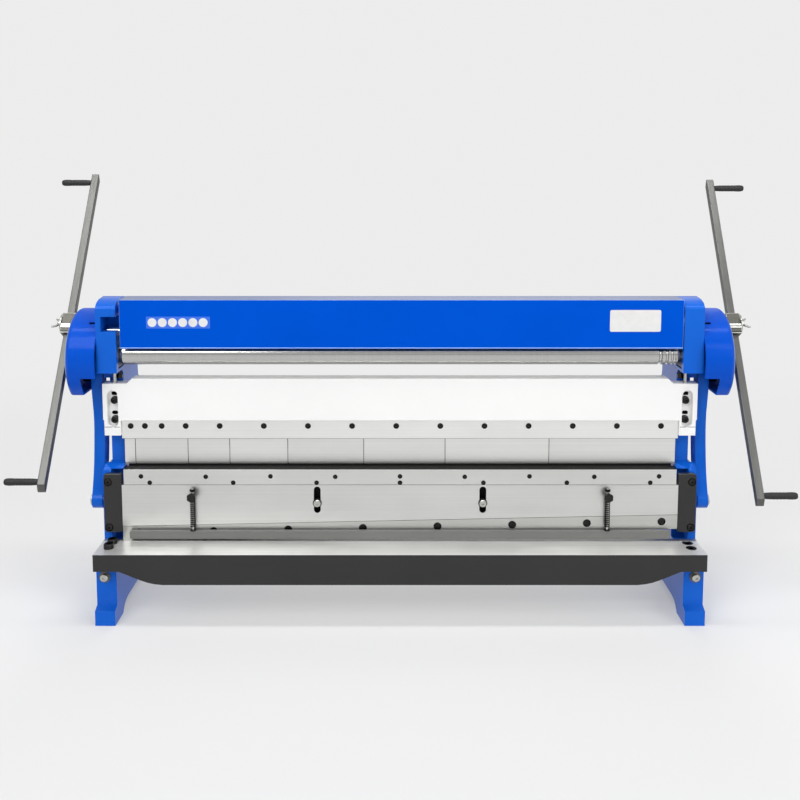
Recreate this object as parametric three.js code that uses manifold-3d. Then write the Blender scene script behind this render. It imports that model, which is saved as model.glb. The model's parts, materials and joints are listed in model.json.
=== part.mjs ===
// A combined sheet-metal machine for a bench: slip rolls on top, a finger brake in the middle and a shear below.
// Millimetres. +X is the machine's right, +Y its back and +Z up. The origin is on the floor, midway
// between the two frames and straight below the crank shafts.
import * as THREE from "three";
import { mergeVertices } from "three/addons/utils/BufferGeometryUtils.js";
import Module from "manifold-3d";

const wasm = await Module();
wasm.setup();

// Clearances and how finely round things are cut
const gap = 0.3;
const overrun = 6;
const bite = 1;
const weld = 0.0001;
const fine = 36;
const round = 20;
const coarse = 12;
const hex = 6;

// The bed, which is the widest sheet that goes in, and the room beside it
const bedWidth = 1320;
const sideRoom = 2;
const halfBed = bedWidth / 2;
const innerFace = halfBed + sideRoom;

// How the machine stacks up from the floor: the table, the ram over it with the V die on top, the fingers over
// the die, the beam that holds them, and the head with the rolls
const stack = { table: 180, ram: 131.7, die: 37.7, brakeMouth: 2.3, fingers: 111.3, lugs: 89.7, headRoom: 29 };
const tableTop = stack.table;
const ramTop = tableTop + stack.ram;
const dieTop = ramTop + gap + stack.die;
const fingerBottom = dieTop + stack.brakeMouth;
const beamBottom = fingerBottom + stack.fingers;
const lugTop = beamBottom + stack.lugs;
const headBottom = lugTop + stack.headRoom;

// Gear teeth
const pressureAngle = (25 * Math.PI) / 180;
const addendumShare = 1;
const dedendumShare = 1.25;
const backlash = 0.5;

// The rolls and their gears, with the crank shafts a little above the upper roll
const roll = { radius: 25.5, journal: 14, gearSeat: 12, nip: 2, endRoom: 5, chamfer: 3, rise: 40, crankRise: 9 };
const rollModule = 3;
const rollTeeth = 17;
const driveTeeth = 25;
const driveReach = (rollModule * (rollTeeth + driveTeeth)) / 2;
const rollY = -Math.sqrt(driveReach ** 2 - roll.crankRise ** 2);
const lowerRoll = { y: rollY, z: headBottom + roll.rise, rise: 1.5, drop: 2.5 };
const upperRoll = { y: rollY, z: lowerRoll.z + 2 * roll.radius + roll.nip };
const rearRollDrop = 35;
const rearRoll = { y: 35, z: upperRoll.z - rearRollDrop, rise: 14, drop: 4, lean: Math.PI / 6, journal: 11 };
const halfRoll = halfBed - roll.endRoom;
// Wire grooves at the right end of a roll: how far the widest lies in from the roll's end and half its width,
// and the shares of both that each groove has
const groove = { inset: 43, half: 4.2 };
const grooveShares = [
  { inset: 1, half: 1 },
  { inset: 28 / 43, half: 6 / 7 },
  { inset: 16 / 43, half: 2 / 3 },
  { inset: 7 / 43, half: 11 / 21 },
];

// The crank shafts, and the gears that turn the eccentric shaft below them
const crankHeight = upperRoll.z + roll.crankRise;
const crankRadius = 12;
const shaftModule = 2.5;
const pinionTeeth = 14;
const bullTeeth = 49;
const shaftHeight = crankHeight - (shaftModule * (pinionTeeth + bullTeeth)) / 2;

// The eccentric shaft. Its two crank pins stand at one angle and throw the ram up and down.
const shaft = { radius: 16, web: 38, webThick: 7.4, throw: 22, pin: 14, bossRadius: 21.5, bossLength: 22 };
const ramRise = 10;
const ramDrop = 30;
const swingLimit = Math.asin((ramRise + ramDrop) / (2 * shaft.throw));
const ramPerTurn = (ramRise + ramDrop) / (2 * swingLimit);
const restSwing = (ramDrop - ramRise) / (2 * ramPerTurn);

// The frames. Front, back and seat are places along Y. Feet and knees are measured from the floor, and what is
// above them from the table, the ram and the head.
const frame = {
  thick: 47,
  footFront: -169,
  footBack: 190,
  footHeight: 35,
  ankle: 43,
  legFront: -150,
  shelfDrop: 40.8,
  seat: -79.7,
  seatRise: 26.3,
  waistFront: -46,
  waistStep: 20,
  neck: 11,
  headRound: 9,
  frontRoom: 10.146,
  topRoom: 80,
  crown: -30,
  headBack: 80,
  backRound: 22,
  crownDrop: 15,
  hipDrop: 11.7,
  hipBack: 112,
  kneeBack: 165,
  knee: 62,
  archFront: -104,
  archBack: 118,
  archHeight: 24,
  archFlatness: 8,
  ribThick: 32.5,
  recessBack: 62,
  recessBelow: 13,
  recessNeck: 11,
};
const outerFace = innerFace + frame.thick;
const level = {
  shelf: tableTop - frame.shelfDrop,
  seatTop: ramTop + frame.seatRise,
  waistBottom: ramTop + frame.seatRise + frame.waistStep,
  waistTop: headBottom - frame.neck,
  hip: ramTop - frame.hipDrop,
};
const recess = {
  bottom: level.waistBottom - frame.recessBelow,
  top: level.waistTop - frame.recessNeck,
};
const head = {
  front: upperRoll.y - roll.radius - frame.frontRoom,
  bottom: headBottom,
  top: upperRoll.z + frame.topRoom,
};
// The shoulder of the head, which curves from its front face up to its crown: shares of its depth and height
const shoulderShares = [
  [0, 0],
  [0.06, 0.32],
  [0.2, 0.66],
  [0.48, 0.9],
  [1, 1],
];
const shoulderDrop = 23;
const archSteps = 14;

// Zones across the right frame's head: the bearings first, then the roll gears, then the shaft's web
const zone = { bearing: 22, gear: 18, clear: 1.5, side: 0.7 };
const bearingEnd = innerFace + zone.bearing;
const gearEnd = bearingEnd + zone.gear;
const webStart = outerFace - 5.5;

// Sliding bearing blocks and their screws
const block = { half: 20, below: 30, above: 17, play: 0.5, rear: 15 };
const adjuster = {
  radius: 4.5,
  head: 8,
  headHeight: 9,
  headDrop: 11.5,
  reach: 20,
  in: 6,
  back: 7,
  rearOut: 126,
  rearGrip: 3,
};
const adjusterX = innerFace + adjuster.in;
const adjusterY = lowerRoll.y + adjuster.back;
const rearAdjusterX = innerFace + zone.bearing / 2;

// The slot in the left head that shows the end of the upper roll
const notch = { width: 35, low: 6, high: 41, depth: 48 };

// The shear: table, blades, and the bar that holds the sheet down
const table = {
  top: tableTop,
  front: -189,
  endLength: 42,
  depth: 28,
  apron: 18,
  rib: 20,
  midDrop: 72,
  slopeStart: 59,
  slopeEnd: 137,
};
const halfTable = innerFace + table.endLength;
const slope = { out: halfTable - table.slopeStart, in: halfTable - table.slopeEnd };
const tableBottom = { end: level.shelf + gap, middle: tableTop - table.midDrop };
const blade = { cutY: -94.2, thick: 14, lowerHeight: 30, height: 35.2, rake: 28.5, leftRise: 30.7, backing: 6 };
const bladeTop = (x) => tableTop + blade.leftRise + (blade.rake * (x + halfBed)) / bedWidth;
const ram = {
  front: blade.cutY + gap / 2,
  back: -26,
  top: ramTop,
  tongueLength: 26,
  tongueBack: -40,
  tongueDrop: 6.7,
  tongueHeight: 90,
  slotWidth: 16,
  slotLength: 64.5,
  slotDrop: 3.7,
  slotDepth: 22,
  slotX: 196.5,
};
const tongueEnd = halfBed + ram.tongueLength;
const guide = { thick: 12, rise: 15, overhang: 5, channelDrop: 15, channelWall: 4.3 };
const holdDown = {
  endRoom: 19,
  thick: 10,
  height: 24.6,
  lift: 4.4,
  forward: 3,
  rod: 2.5,
  rodInset: 150,
  rodDrop: 5.7,
  nut: 6,
  nutHeight: 3.5,
  nutRoom: 9,
};
const halfHoldDown = halfBed - holdDown.endRoom;
const holdDownRodX = halfHoldDown - holdDown.rodInset;
const holdDownBack = ram.front - holdDown.forward;
const holdDownBottom = table.top + holdDown.lift;
const rodY = holdDownBack - holdDown.thick / 2;
const springBolt = { drop: 23.7, radius: 4, head: 11.5, headThick: 6, neck: 18, depth: 18 };
const springBoltZ = ram.top - springBolt.drop;
const spring = { coil: 5.8, wire: 2, turns: 14.25, steps: 8, sides: 5 };

// The brake: V die on the ram, fingers under the beam
const die = { endRoom: 5, back: -24, grooveY: -54.75, groove: 10.5 };
const halfDie = halfBed - die.endRoom;
const finger = { front: -60, thick: 18, tip: 0.75, bevel: 5.5, backBevel: 28, joint: 0.4 };
const fingerWidths = [26, 126, 100, 139, 182, 195, 249, 303];
const beam = {
  front: -78,
  crown: 12,
  lugStep: 88,
  lugDrop: 36.3,
  lugLength: 42,
  lugInset: 2.5,
  endRoom: 26,
  topBack: -41,
  back: -14,
  shoulderDrop: 27,
  tongueDrop: 63.3,
  slotIn: 18.5,
  slotDrop: 16,
  slotLength: 90,
  slotHalf: 12.5,
  slotDepth: 12,
};
const halfBeam = innerFace + beam.lugLength;
const beamTop = lugTop + beam.crown;
const clampBar = { front: -72, drop: 45.3 };

// The connecting arms outside the frames
const arm = {
  start: 3,
  thick: 26,
  pinY: -59,
  pinDrop: 47.7,
  boss: 20,
  pin: 10,
  half: 18,
  bow: 40,
  wall: 12,
  slack: 2.3,
};
const armPinZ = ram.top - arm.pinDrop;
const armStart = outerFace + arm.start;
const armEnd = armStart + arm.thick;
// The arm's middle line: shares of the height from its pin to its eccentric, and of the bow behind the pin
const armLineShares = [
  { up: 0, back: 0 },
  { up: 0.19, back: 0.55 },
  { up: 0.37, back: 0.825 },
  { up: 0.56, back: 0.925 },
  { up: 0.83, back: 0.625 },
  { up: 0.97, back: 1 },
];
const armSteps = 16;
const pinHead = { radius: 14, thick: 4.5 };

// Gear covers, crank hubs, bars and grips
const cover = { rim: 22.25, wall: 4, width: 71, floorDrop: 78.25, cutDrop: 33.25, cutWidth: 36, shaftRoom: 2 };
const coverEnd = outerFace + cover.width;
const coverRadius = crankHeight - shaftHeight + crankRadius + cover.shaftRoom + cover.rim;
const coverFloor = shaftHeight - cover.floorDrop;
const bull = { start: 33, width: 22, overlap: 1 };
const hub = { start: 1.5, length: 37.5, halfWide: 20, halfHigh: 24, disc: 30, discThick: 6, bore: 1 };
const bar = { side: 18, start: 11, half: 416, gripInset: 21, stud: 4, cut: 12 };
const barStart = coverEnd + bar.start;
const barEnd = barStart + bar.side;
const grip = { radius: 9, length: 77, neck: 7.5, nose: 5, taper: 10, studRoom: 4 };
const wing = { screw: 5, reach: 22, half: 20, thick: 5, root: 0.3 };
// One wing of the screw: shares of how far it reaches out and of how far it spreads
const wingShares = [
  [0.5, 0],
  [1, 0.72],
  [0.85, 1],
  [0.35, 0.3],
  [0, 0.3],
];
// How each crank stands: the turn of its bar, how far the bar is pushed through the hub, and how far the hub
// stands out on its shaft
const crankTilt = { left: (-34 * Math.PI) / 180, right: (-31.5 * Math.PI) / 180 };
const crankSlide = { left: 7, right: -20 };
const crankOut = { left: 0, right: 5 };

// The sheet cover over the upper roll
const hood = { wall: 2, stand: 2, drop: 34, rise: 1, back: -35, lip: 16, flange: 46, leftRoom: 10, rightRoom: 3 };
const hoodBoss = { radius: 9, y: -68, drop: 24 };

// Finishes
const blueEnamel = new THREE.MeshStandardMaterial({ color: 0x0b4fc4, roughness: 0.35, metalness: 0 });
const whiteEnamel = new THREE.MeshStandardMaterial({ color: 0xf2f2f0, roughness: 0.4, metalness: 0 });
const greyEnamel = new THREE.MeshStandardMaterial({ color: 0x3c3c3c, roughness: 0.5, metalness: 0 });
const groundSteel = new THREE.MeshStandardMaterial({ color: 0xd4d4d2, roughness: 0.35, metalness: 0.9 });
const plainSteel = new THREE.MeshStandardMaterial({ color: 0xa8a8a6, roughness: 0.5, metalness: 0.8 });
const blackSteel = new THREE.MeshStandardMaterial({ color: 0x1c1c1c, roughness: 0.5, metalness: 0.5 });
const darkPlastic = new THREE.MeshStandardMaterial({ color: 0x151515, roughness: 0.6, metalness: 0 });

const sides = [
  { name: "left", sign: -1 },
  { name: "right", sign: 1 },
];

// A closed three.js geometry as a solid that can be joined and cut.
function solid(geometry) {
  const bare = new THREE.BufferGeometry();
  bare.setAttribute("position", geometry.getAttribute("position"));
  bare.setIndex(geometry.index);
  const merged = mergeVertices(bare, weld);
  const corners = merged.index.array;
  const kept = [];
  for (let i = 0; i < corners.length; i += 3) {
    const [a, b, c] = corners.slice(i, i + 3);
    if (a !== b && b !== c && c !== a) kept.push(a, b, c);
  }
  return new wasm.Manifold(
    new wasm.Mesh({
      numProp: 3,
      vertProperties: merged.attributes.position.array,
      triVerts: new Uint32Array(kept),
    }),
  );
}

function geometryOf(shape) {
  const { vertProperties, triVerts } = shape.getMesh();
  const geometry = new THREE.BufferGeometry();
  geometry.setAttribute("position", new THREE.BufferAttribute(vertProperties, 3));
  geometry.setIndex(new THREE.BufferAttribute(triVerts, 1));
  geometry.computeVertexNormals();
  return geometry;
}

function extruded(points, depth) {
  const outline = new THREE.Shape(points.map(([a, b]) => new THREE.Vector2(a, b)));
  return new THREE.ExtrudeGeometry(outline, { depth, bevelEnabled: false });
}

const sideways = new THREE.Matrix4().set(0, 0, 1, 0, 1, 0, 0, 0, 0, 1, 0, 0, 0, 0, 0, 1);
const forwards = new THREE.Matrix4().set(1, 0, 0, 0, 0, 0, -1, 0, 0, 1, 0, 0, 0, 0, 0, 1);

// An outline of [y, z] points, pulled along X between two places.
function sideSlab(points, a, b) {
  const length = Math.abs(b - a);
  return solid(extruded(points, length).applyMatrix4(sideways).translate(Math.min(a, b), 0, 0));
}

// An outline of [x, z] points, pulled along Y between two places.
function frontSlab(points, front, back) {
  return solid(extruded(points, back - front).applyMatrix4(forwards).translate(0, back, 0));
}

function box(x, y, z) {
  const geometry = new THREE.BoxGeometry(Math.abs(x[1] - x[0]), Math.abs(y[1] - y[0]), Math.abs(z[1] - z[0]));
  return solid(geometry.translate((x[0] + x[1]) / 2, (y[0] + y[1]) / 2, (z[0] + z[1]) / 2));
}

// Round or hexagonal bars along one axis. The two middle values are the other two coordinates, in order.
function rodX(radius, a, b, y, z, facets = round) {
  const geometry = new THREE.CylinderGeometry(radius, radius, Math.abs(b - a), facets);
  return solid(geometry.rotateZ(Math.PI / 2).translate((a + b) / 2, y, z));
}
function rodY_(radius, a, b, x, z, facets = round) {
  const geometry = new THREE.CylinderGeometry(radius, radius, Math.abs(b - a), facets);
  return solid(geometry.translate(x, (a + b) / 2, z));
}
function rodZ(radius, a, b, x, y, facets = round) {
  const geometry = new THREE.CylinderGeometry(radius, radius, Math.abs(b - a), facets);
  return solid(geometry.rotateX(Math.PI / 2).translate(x, y, (a + b) / 2));
}

// A turned piece about the X axis through y and z, from a profile of [radius, x] points.
function turned(profile, y, z, facets = round) {
  const points = profile.map(([radius, x]) => new THREE.Vector2(radius, x));
  const geometry = new THREE.LatheGeometry(points, facets).rotateZ(-Math.PI / 2);
  const shape = solid(geometry.translate(0, y, z));
  if (shape.volume() > 0) return shape;
  const flipped = new THREE.LatheGeometry(points.reverse(), facets).rotateZ(-Math.PI / 2);
  return solid(flipped.translate(0, y, z));
}

const machine = new THREE.Group();

function piece(name, shape, material, parent = machine) {
  const mesh = new THREE.Mesh(geometryOf(shape), material);
  mesh.name = name;
  parent.add(mesh);
  return mesh;
}

const involute = (angle) => Math.tan(angle) - angle;

// The outline of a spur gear round [0, 0], with one tooth centred at an angle from the first axis.
function gearOutline(teeth, toothModule, turn) {
  const pitch = (teeth * toothModule) / 2;
  const base = pitch * Math.cos(pressureAngle);
  const root = pitch - toothModule * dedendumShare;
  const tip = pitch + toothModule * addendumShare;
  const halfTooth = Math.PI / (2 * teeth) - backlash / (2 * pitch) + involute(pressureAngle);
  const halfAt = (radius) => halfTooth - involute(Math.acos(Math.min(1, base / radius)));
  const radii = [root, tip];
  const points = [];
  for (let tooth = 0; tooth < teeth; tooth++) {
    const middle = turn + (tooth * 2 * Math.PI) / teeth;
    const rising = radii.map((radius) => [radius, middle - halfAt(Math.max(radius, base))]);
    const falling = radii.map((radius) => [radius, middle + halfAt(Math.max(radius, base))]).reverse();
    for (const [radius, angle] of [...rising, ...falling])
      points.push([radius * Math.cos(angle), radius * Math.sin(angle)]);
  }
  return points;
}

// The turn that puts a gear's tooth gap opposite its neighbour's tooth. line is the direction from the
// neighbour to this gear, and ahead how far the neighbour's tooth stands ahead of that line.
const meshTurn = (line, ahead, teeth, neighbourTeeth) =>
  line + Math.PI - (ahead * neighbourTeeth) / teeth + Math.PI / teeth;

// The other half of an outline that is even about its first axis
const mirrored = (points) => points.map(([a, b]) => [a, -b]).reverse();

function quarterRound(centreY, centreZ, radius, from, steps = 5) {
  const points = [];
  for (let i = 0; i <= steps; i++) {
    const angle = from - (i * Math.PI) / (2 * steps);
    points.push([centreY + radius * Math.cos(angle), centreZ + radius * Math.sin(angle)]);
  }
  return points;
}

// One frame's outline in Y and Z, from the front foot up over the head and down the back.
function frameOutline() {
  const arch = [];
  const archMiddle = (frame.archFront + frame.archBack) / 2;
  const archHalf = (frame.archBack - frame.archFront) / 2;
  for (let i = 0; i <= archSteps; i++) {
    const angle = (i * Math.PI) / archSteps;
    const across = Math.cos(angle);
    arch.push([archMiddle + archHalf * across, frame.archHeight * (1 - across ** frame.archFlatness)]);
  }
  const headBackTop = head.top - frame.crownDrop;
  const shoulder = shoulderShares.map(([along, up]) => [
    head.front + along * (frame.crown - head.front),
    head.top - shoulderDrop + up * shoulderDrop,
  ]);
  return [
    [frame.footFront, 0],
    [frame.footFront, frame.footHeight],
    [frame.legFront, frame.ankle],
    [frame.legFront, level.shelf],
    [frame.seat, level.shelf],
    [frame.seat, level.seatTop],
    [frame.waistFront, level.waistBottom],
    [frame.waistFront, level.waistTop],
    [frame.waistFront - frame.headRound, head.bottom],
    [head.front, head.bottom],
    ...shoulder,
    ...quarterRound(frame.headBack - frame.backRound, headBackTop - frame.backRound, frame.backRound, Math.PI / 2),
    [frame.headBack, recess.top],
    [frame.hipBack, level.hip],
    [frame.kneeBack, frame.knee],
    [frame.footBack, frame.ankle],
    [frame.footBack, 0],
    ...arch,
  ];
}

// The rear roll's bearing slides up and forwards, leaning from the vertical.
const rearUp = { y: -Math.sin(rearRoll.lean), z: Math.cos(rearRoll.lean) };
const rearAcross = { y: Math.cos(rearRoll.lean), z: Math.sin(rearRoll.lean) };
const rearPoint = (across, up) => [
  rearRoll.y + across * rearAcross.y + up * rearUp.y,
  rearRoll.z + across * rearAcross.z + up * rearUp.z,
];
const rearSquare = (half, low, high) => [
  rearPoint(-half, low),
  rearPoint(half, low),
  rearPoint(half, high),
  rearPoint(-half, high),
];
// A bar along the rear roll's slide, from one distance to another.
function rearRod(radius, low, high, x, facets = coarse) {
  const geometry = new THREE.CylinderGeometry(radius, radius, high - low, facets);
  geometry.translate(0, (low + high) / 2, 0).rotateX(Math.PI / 2 + rearRoll.lean);
  return solid(geometry.translate(x, rearRoll.y, rearRoll.z));
}

function makeFrame({ name, sign }) {
  const from = sign * innerFace;
  const to = sign * outerFace;
  const inside = sign * (innerFace - overrun);
  const outside = sign * (outerFace + overrun);
  const bearing = sign * bearingEnd;
  let shape = sideSlab(frameOutline(), from, to);
  const bossEnd = sign * (innerFace - shaft.bossLength);
  shape = shape.add(rodX(shaft.bossRadius, bossEnd, from + sign * bite, 0, shaftHeight));
  const hoodRoom = sign < 0 ? hood.leftRoom : hood.rightRoom;
  const hoodReach = sign * (innerFace - hoodRoom + gap);
  const hoodBossZ = head.top - hoodBoss.drop;
  shape = shape.add(rodX(hoodBoss.radius, hoodReach, from + sign * bite, hoodBoss.y, hoodBossZ, coarse));

  // The waist is thinner on its outer side, and the ram's tongue runs in a channel below it.
  shape = shape.subtract(
    box(
      [sign * (innerFace + frame.ribThick), outside],
      [frame.waistFront - overrun, frame.recessBack],
      [recess.bottom, recess.top],
    ),
  );
  const channelEnd = sign * (tongueEnd + guide.channelWall);
  shape = shape.subtract(
    box(
      [inside, channelEnd],
      [frame.seat - overrun, ram.tongueBack + gap],
      [tableTop - guide.channelDrop, level.seatTop + overrun],
    ),
  );
  const slotHalf = arm.pin + 2 * gap;
  shape = shape.subtract(
    box(
      [inside, outside],
      [arm.pinY - slotHalf, arm.pinY + slotHalf],
      [armPinZ - ramDrop - slotHalf, armPinZ + ramRise + slotHalf],
    ),
  );

  // Bores for the shafts and the upper roll, and channels for the sliding blocks
  const insideBoss = sign * (innerFace - shaft.bossLength - overrun);
  shape = shape.subtract(rodX(shaft.radius + gap, insideBoss, outside, 0, shaftHeight));
  shape = shape.subtract(rodX(shaft.web + gap, sign * webStart, outside, 0, shaftHeight, fine));
  shape = shape.subtract(rodX(crankRadius + gap, inside, outside, 0, crankHeight));
  const rollBore = sign < 0 ? sign * (innerFace + notch.width) : bearing;
  shape = shape.subtract(rodX(roll.journal + gap, inside, rollBore, upperRoll.y, upperRoll.z));
  const blockLow = lowerRoll.z - block.below - lowerRoll.drop - block.play;
  const blockHigh = lowerRoll.z + block.above + lowerRoll.rise + block.play;
  const blockRoom = block.half + gap;
  shape = shape.subtract(
    box([inside, bearing], [lowerRoll.y - blockRoom, lowerRoll.y + blockRoom], [blockLow, blockHigh]),
  );
  shape = shape.subtract(
    rodZ(adjuster.radius + gap, head.bottom - overrun, lowerRoll.z, sign * adjusterX, adjusterY, coarse),
  );
  shape = shape.subtract(
    sideSlab(
      rearSquare(
        block.rear + gap,
        -block.rear - rearRoll.drop - block.play,
        block.rear + rearRoll.rise + block.play,
      ),
      inside,
      bearing,
    ),
  );
  shape = shape.subtract(rearRod(adjuster.radius + gap, -adjuster.rearOut, -block.rear, sign * rearAdjusterX));
  if (sign < 0) {
    const notchHeights = [upperRoll.z + notch.low, upperRoll.z + notch.high];
    const notchDepths = [head.front - overrun, head.front + notch.depth];
    shape = shape.subtract(box([inside, sign * (innerFace + notch.width)], notchDepths, notchHeights));
  } else {
    shape = shape.subtract(gearPocket());
  }
  return piece(`frame_${name}`, shape, blueEnamel);
}

// The room for the three roll gears inside the right head, which opens through the bearing bores.
function gearPocket() {
  const tipOf = (teeth) => (rollModule * teeth) / 2 + rollModule * addendumShare + zone.clear;
  const small = tipOf(rollTeeth);
  const low = lowerRoll.z - lowerRoll.drop;
  const high = lowerRoll.z + lowerRoll.rise;
  const start = bearingEnd - gap;
  return rodX(small, start, gearEnd, upperRoll.y, upperRoll.z)
    .add(rodX(small, start, gearEnd, lowerRoll.y, low))
    .add(rodX(small, start, gearEnd, lowerRoll.y, high))
    .add(box([start, gearEnd], [lowerRoll.y - small, lowerRoll.y + small], [low, high]))
    .add(rodX(tipOf(driveTeeth), start, gearEnd, 0, crankHeight));
}

function makeTable() {
  const back = blade.cutY - gap / 2 - blade.thick - gap;
  const under = table.top - table.depth;
  const section = [
    [table.front, table.top],
    [table.front, tableBottom.middle],
    [table.front + table.apron, tableBottom.middle],
    [table.front + table.apron, under],
    [back - table.rib, under],
    [back - table.rib, tableBottom.middle],
    [back, tableBottom.middle],
    [back, table.top],
  ];
  let shape = sideSlab(section, -halfTable, halfTable);
  for (const { sign } of sides) {
    shape = shape.add(
      box(
        [sign * slope.out, sign * halfTable],
        [table.front + table.apron / 2, back - table.rib / 2],
        [tableBottom.end, table.top - table.depth / 2],
      ),
    );
    const under = [
      [sign * (halfTable + overrun), tableBottom.end],
      [sign * slope.out, tableBottom.end],
      [sign * slope.in, tableBottom.middle],
      [sign * slope.in, tableBottom.middle - overrun],
      [sign * (halfTable + overrun), tableBottom.middle - overrun],
    ];
    shape = shape.subtract(frontSlab(under, table.front - overrun, back + overrun));
  }
  piece("work_table", shape, greyEnamel);

  const bladeFront = back + gap;
  piece(
    "lower_blade",
    box(
      [-halfTable, halfTable],
      [bladeFront, bladeFront + blade.thick],
      [table.top - blade.lowerHeight, table.top],
    ),
    groundSteel,
  );
}

function makeRam() {
  const bottomAt = (x) => bladeTop(x) - blade.height + blade.backing;
  const outline = [
    [-halfBed, bottomAt(-halfBed)],
    [halfBed, bottomAt(halfBed)],
    [halfBed, ram.top],
    [-halfBed, ram.top],
  ];
  let shape = frontSlab(outline, ram.front, ram.back);
  const rebateBack = ram.front + blade.thick + gap;
  const rebate = [
    [-halfBed - overrun, bladeTop(-halfBed - overrun) + gap],
    [halfBed + overrun, bladeTop(halfBed + overrun) + gap],
    [halfBed + overrun, tableBottom.middle],
    [-halfBed - overrun, tableBottom.middle],
  ];
  shape = shape.subtract(frontSlab(rebate, ram.front - overrun, rebateBack));
  for (const { sign } of sides) {
    shape = shape.add(
      box(
        [sign * (halfBed - overrun), sign * tongueEnd],
        [frame.seat + gap, ram.tongueBack],
        [ram.top - ram.tongueDrop - ram.tongueHeight, ram.top - ram.tongueDrop],
      ),
    );
    shape = shape.subtract(rodX(arm.pin + gap, sign * halfBed, sign * (tongueEnd + overrun), arm.pinY, armPinZ));
    const halfSlot = ram.slotWidth / 2;
    const slotTop = ram.top - ram.slotDrop;
    const slotEnds = [slotTop - halfSlot, slotTop - ram.slotLength + halfSlot];
    const slotFront = ram.front - overrun;
    const slotBack = ram.front + ram.slotDepth;
    const x = sign * ram.slotX;
    shape = shape.subtract(box([x - halfSlot, x + halfSlot], [slotFront, slotBack], slotEnds));
    for (const z of slotEnds) shape = shape.subtract(rodY_(halfSlot, slotFront, slotBack, x, z, coarse));
    const boltX = sign * holdDownRodX;
    shape = shape.subtract(
      rodY_(springBolt.radius + gap, slotFront, ram.front + springBolt.depth + gap, boltX, springBoltZ, coarse),
    );
  }
  piece("ram", shape, groundSteel);

  const strip = [
    [-halfBed, bladeTop(-halfBed) - blade.height],
    [halfBed, bladeTop(halfBed) - blade.height],
    [halfBed, bladeTop(halfBed)],
    [-halfBed, bladeTop(-halfBed)],
  ];
  piece("upper_blade", frontSlab(strip, ram.front, ram.front + blade.thick), groundSteel);

  const dieBottom = ram.top + gap;
  const section = [
    [ram.front, dieBottom],
    [die.back, dieBottom],
    [die.back, dieTop],
    [die.grooveY + die.groove, dieTop],
    [die.grooveY, dieTop - die.groove],
    [die.grooveY - die.groove, dieTop],
    [ram.front, dieTop],
  ];
  piece("v_die", sideSlab(section, -halfDie, halfDie), groundSteel);
}

// The bar that presses the sheet on the table, with its two rods and their end nuts.
function makeHoldDown() {
  const top = holdDownBottom + holdDown.height;
  const ends = quarterEnds(halfHoldDown, holdDownBottom, top, holdDown.height / 6);
  let shape = frontSlab(ends, holdDownBack - holdDown.thick, holdDownBack);
  const nutBottom = springBoltZ + springBolt.radius + holdDown.nutRoom;
  for (const { sign } of sides) {
    const x = sign * holdDownRodX;
    shape = shape
      .add(rodZ(holdDown.rod, top - overrun, ram.top - holdDown.rodDrop, x, rodY, coarse))
      .add(rodZ(holdDown.nut, nutBottom, nutBottom + holdDown.nutHeight, x, rodY, hex));
  }
  piece("hold_down_bar", shape, greyEnamel);

  for (const { name, sign } of sides) {
    const x = sign * holdDownRodX;
    const neckFront = ram.front - springBolt.neck;
    let bolt = rodY_(springBolt.radius, neckFront, ram.front + springBolt.depth, x, springBoltZ, coarse);
    bolt = bolt.add(rodY_(springBolt.head, neckFront - springBolt.headThick, neckFront, x, springBoltZ, hex));
    const reach = springBolt.radius + overrun;
    bolt = bolt.subtract(rodZ(holdDown.rod + gap, springBoltZ - reach, springBoltZ + reach, x, rodY, coarse));
    piece(`spring_bolt_${name}`, bolt, blackSteel);
    makeSpring(name, x, top + gap, springBoltZ - springBolt.radius - gap);
  }
}

// A long outline in X and Z with cut corners
function quarterEnds(half, bottom, top, cut) {
  return [
    [-half, bottom + cut],
    [-half + cut, bottom],
    [half - cut, bottom],
    [half, bottom + cut],
    [half, top - cut],
    [half - cut, top],
    [-half + cut, top],
    [-half, top - cut],
  ];
}

// A coil spring round a rod: one unbroken tube whose ends run straight up and down for one wire's width.
function makeSpring(name, x, bottom, top) {
  const low = bottom + spring.wire;
  const high = top - spring.wire;
  const rings = Math.round(spring.turns * spring.steps);
  const line = [[spring.coil, 0, bottom]];
  for (let i = 0; i <= rings; i++) {
    const angle = (i * 2 * Math.PI) / spring.steps;
    const share = i / rings;
    line.push([spring.coil * Math.cos(angle), spring.coil * Math.sin(angle), low + share * (high - low)]);
  }
  const last = line[line.length - 1];
  line.push([last[0], last[1], top]);
  const path = line.map(([a, b, z]) => new THREE.Vector3(x + a, rodY + b, z));
  reportCoilGap(name, path);
  piece(`hold_down_spring_${name}`, solid(tubeAlong(path, spring.wire / 2, spring.sides)), blackSteel);
}

function reportCoilGap(name, path) {
  let least = Infinity;
  const apart = spring.steps / 2;
  path.forEach((point, i) => {
    for (let j = i + apart; j < path.length; j++) least = Math.min(least, point.distanceTo(path[j]));
  });
  console.log(`hold_down_spring_${name}: least gap between turns ${(least - spring.wire).toFixed(2)} mm`);
}

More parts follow.
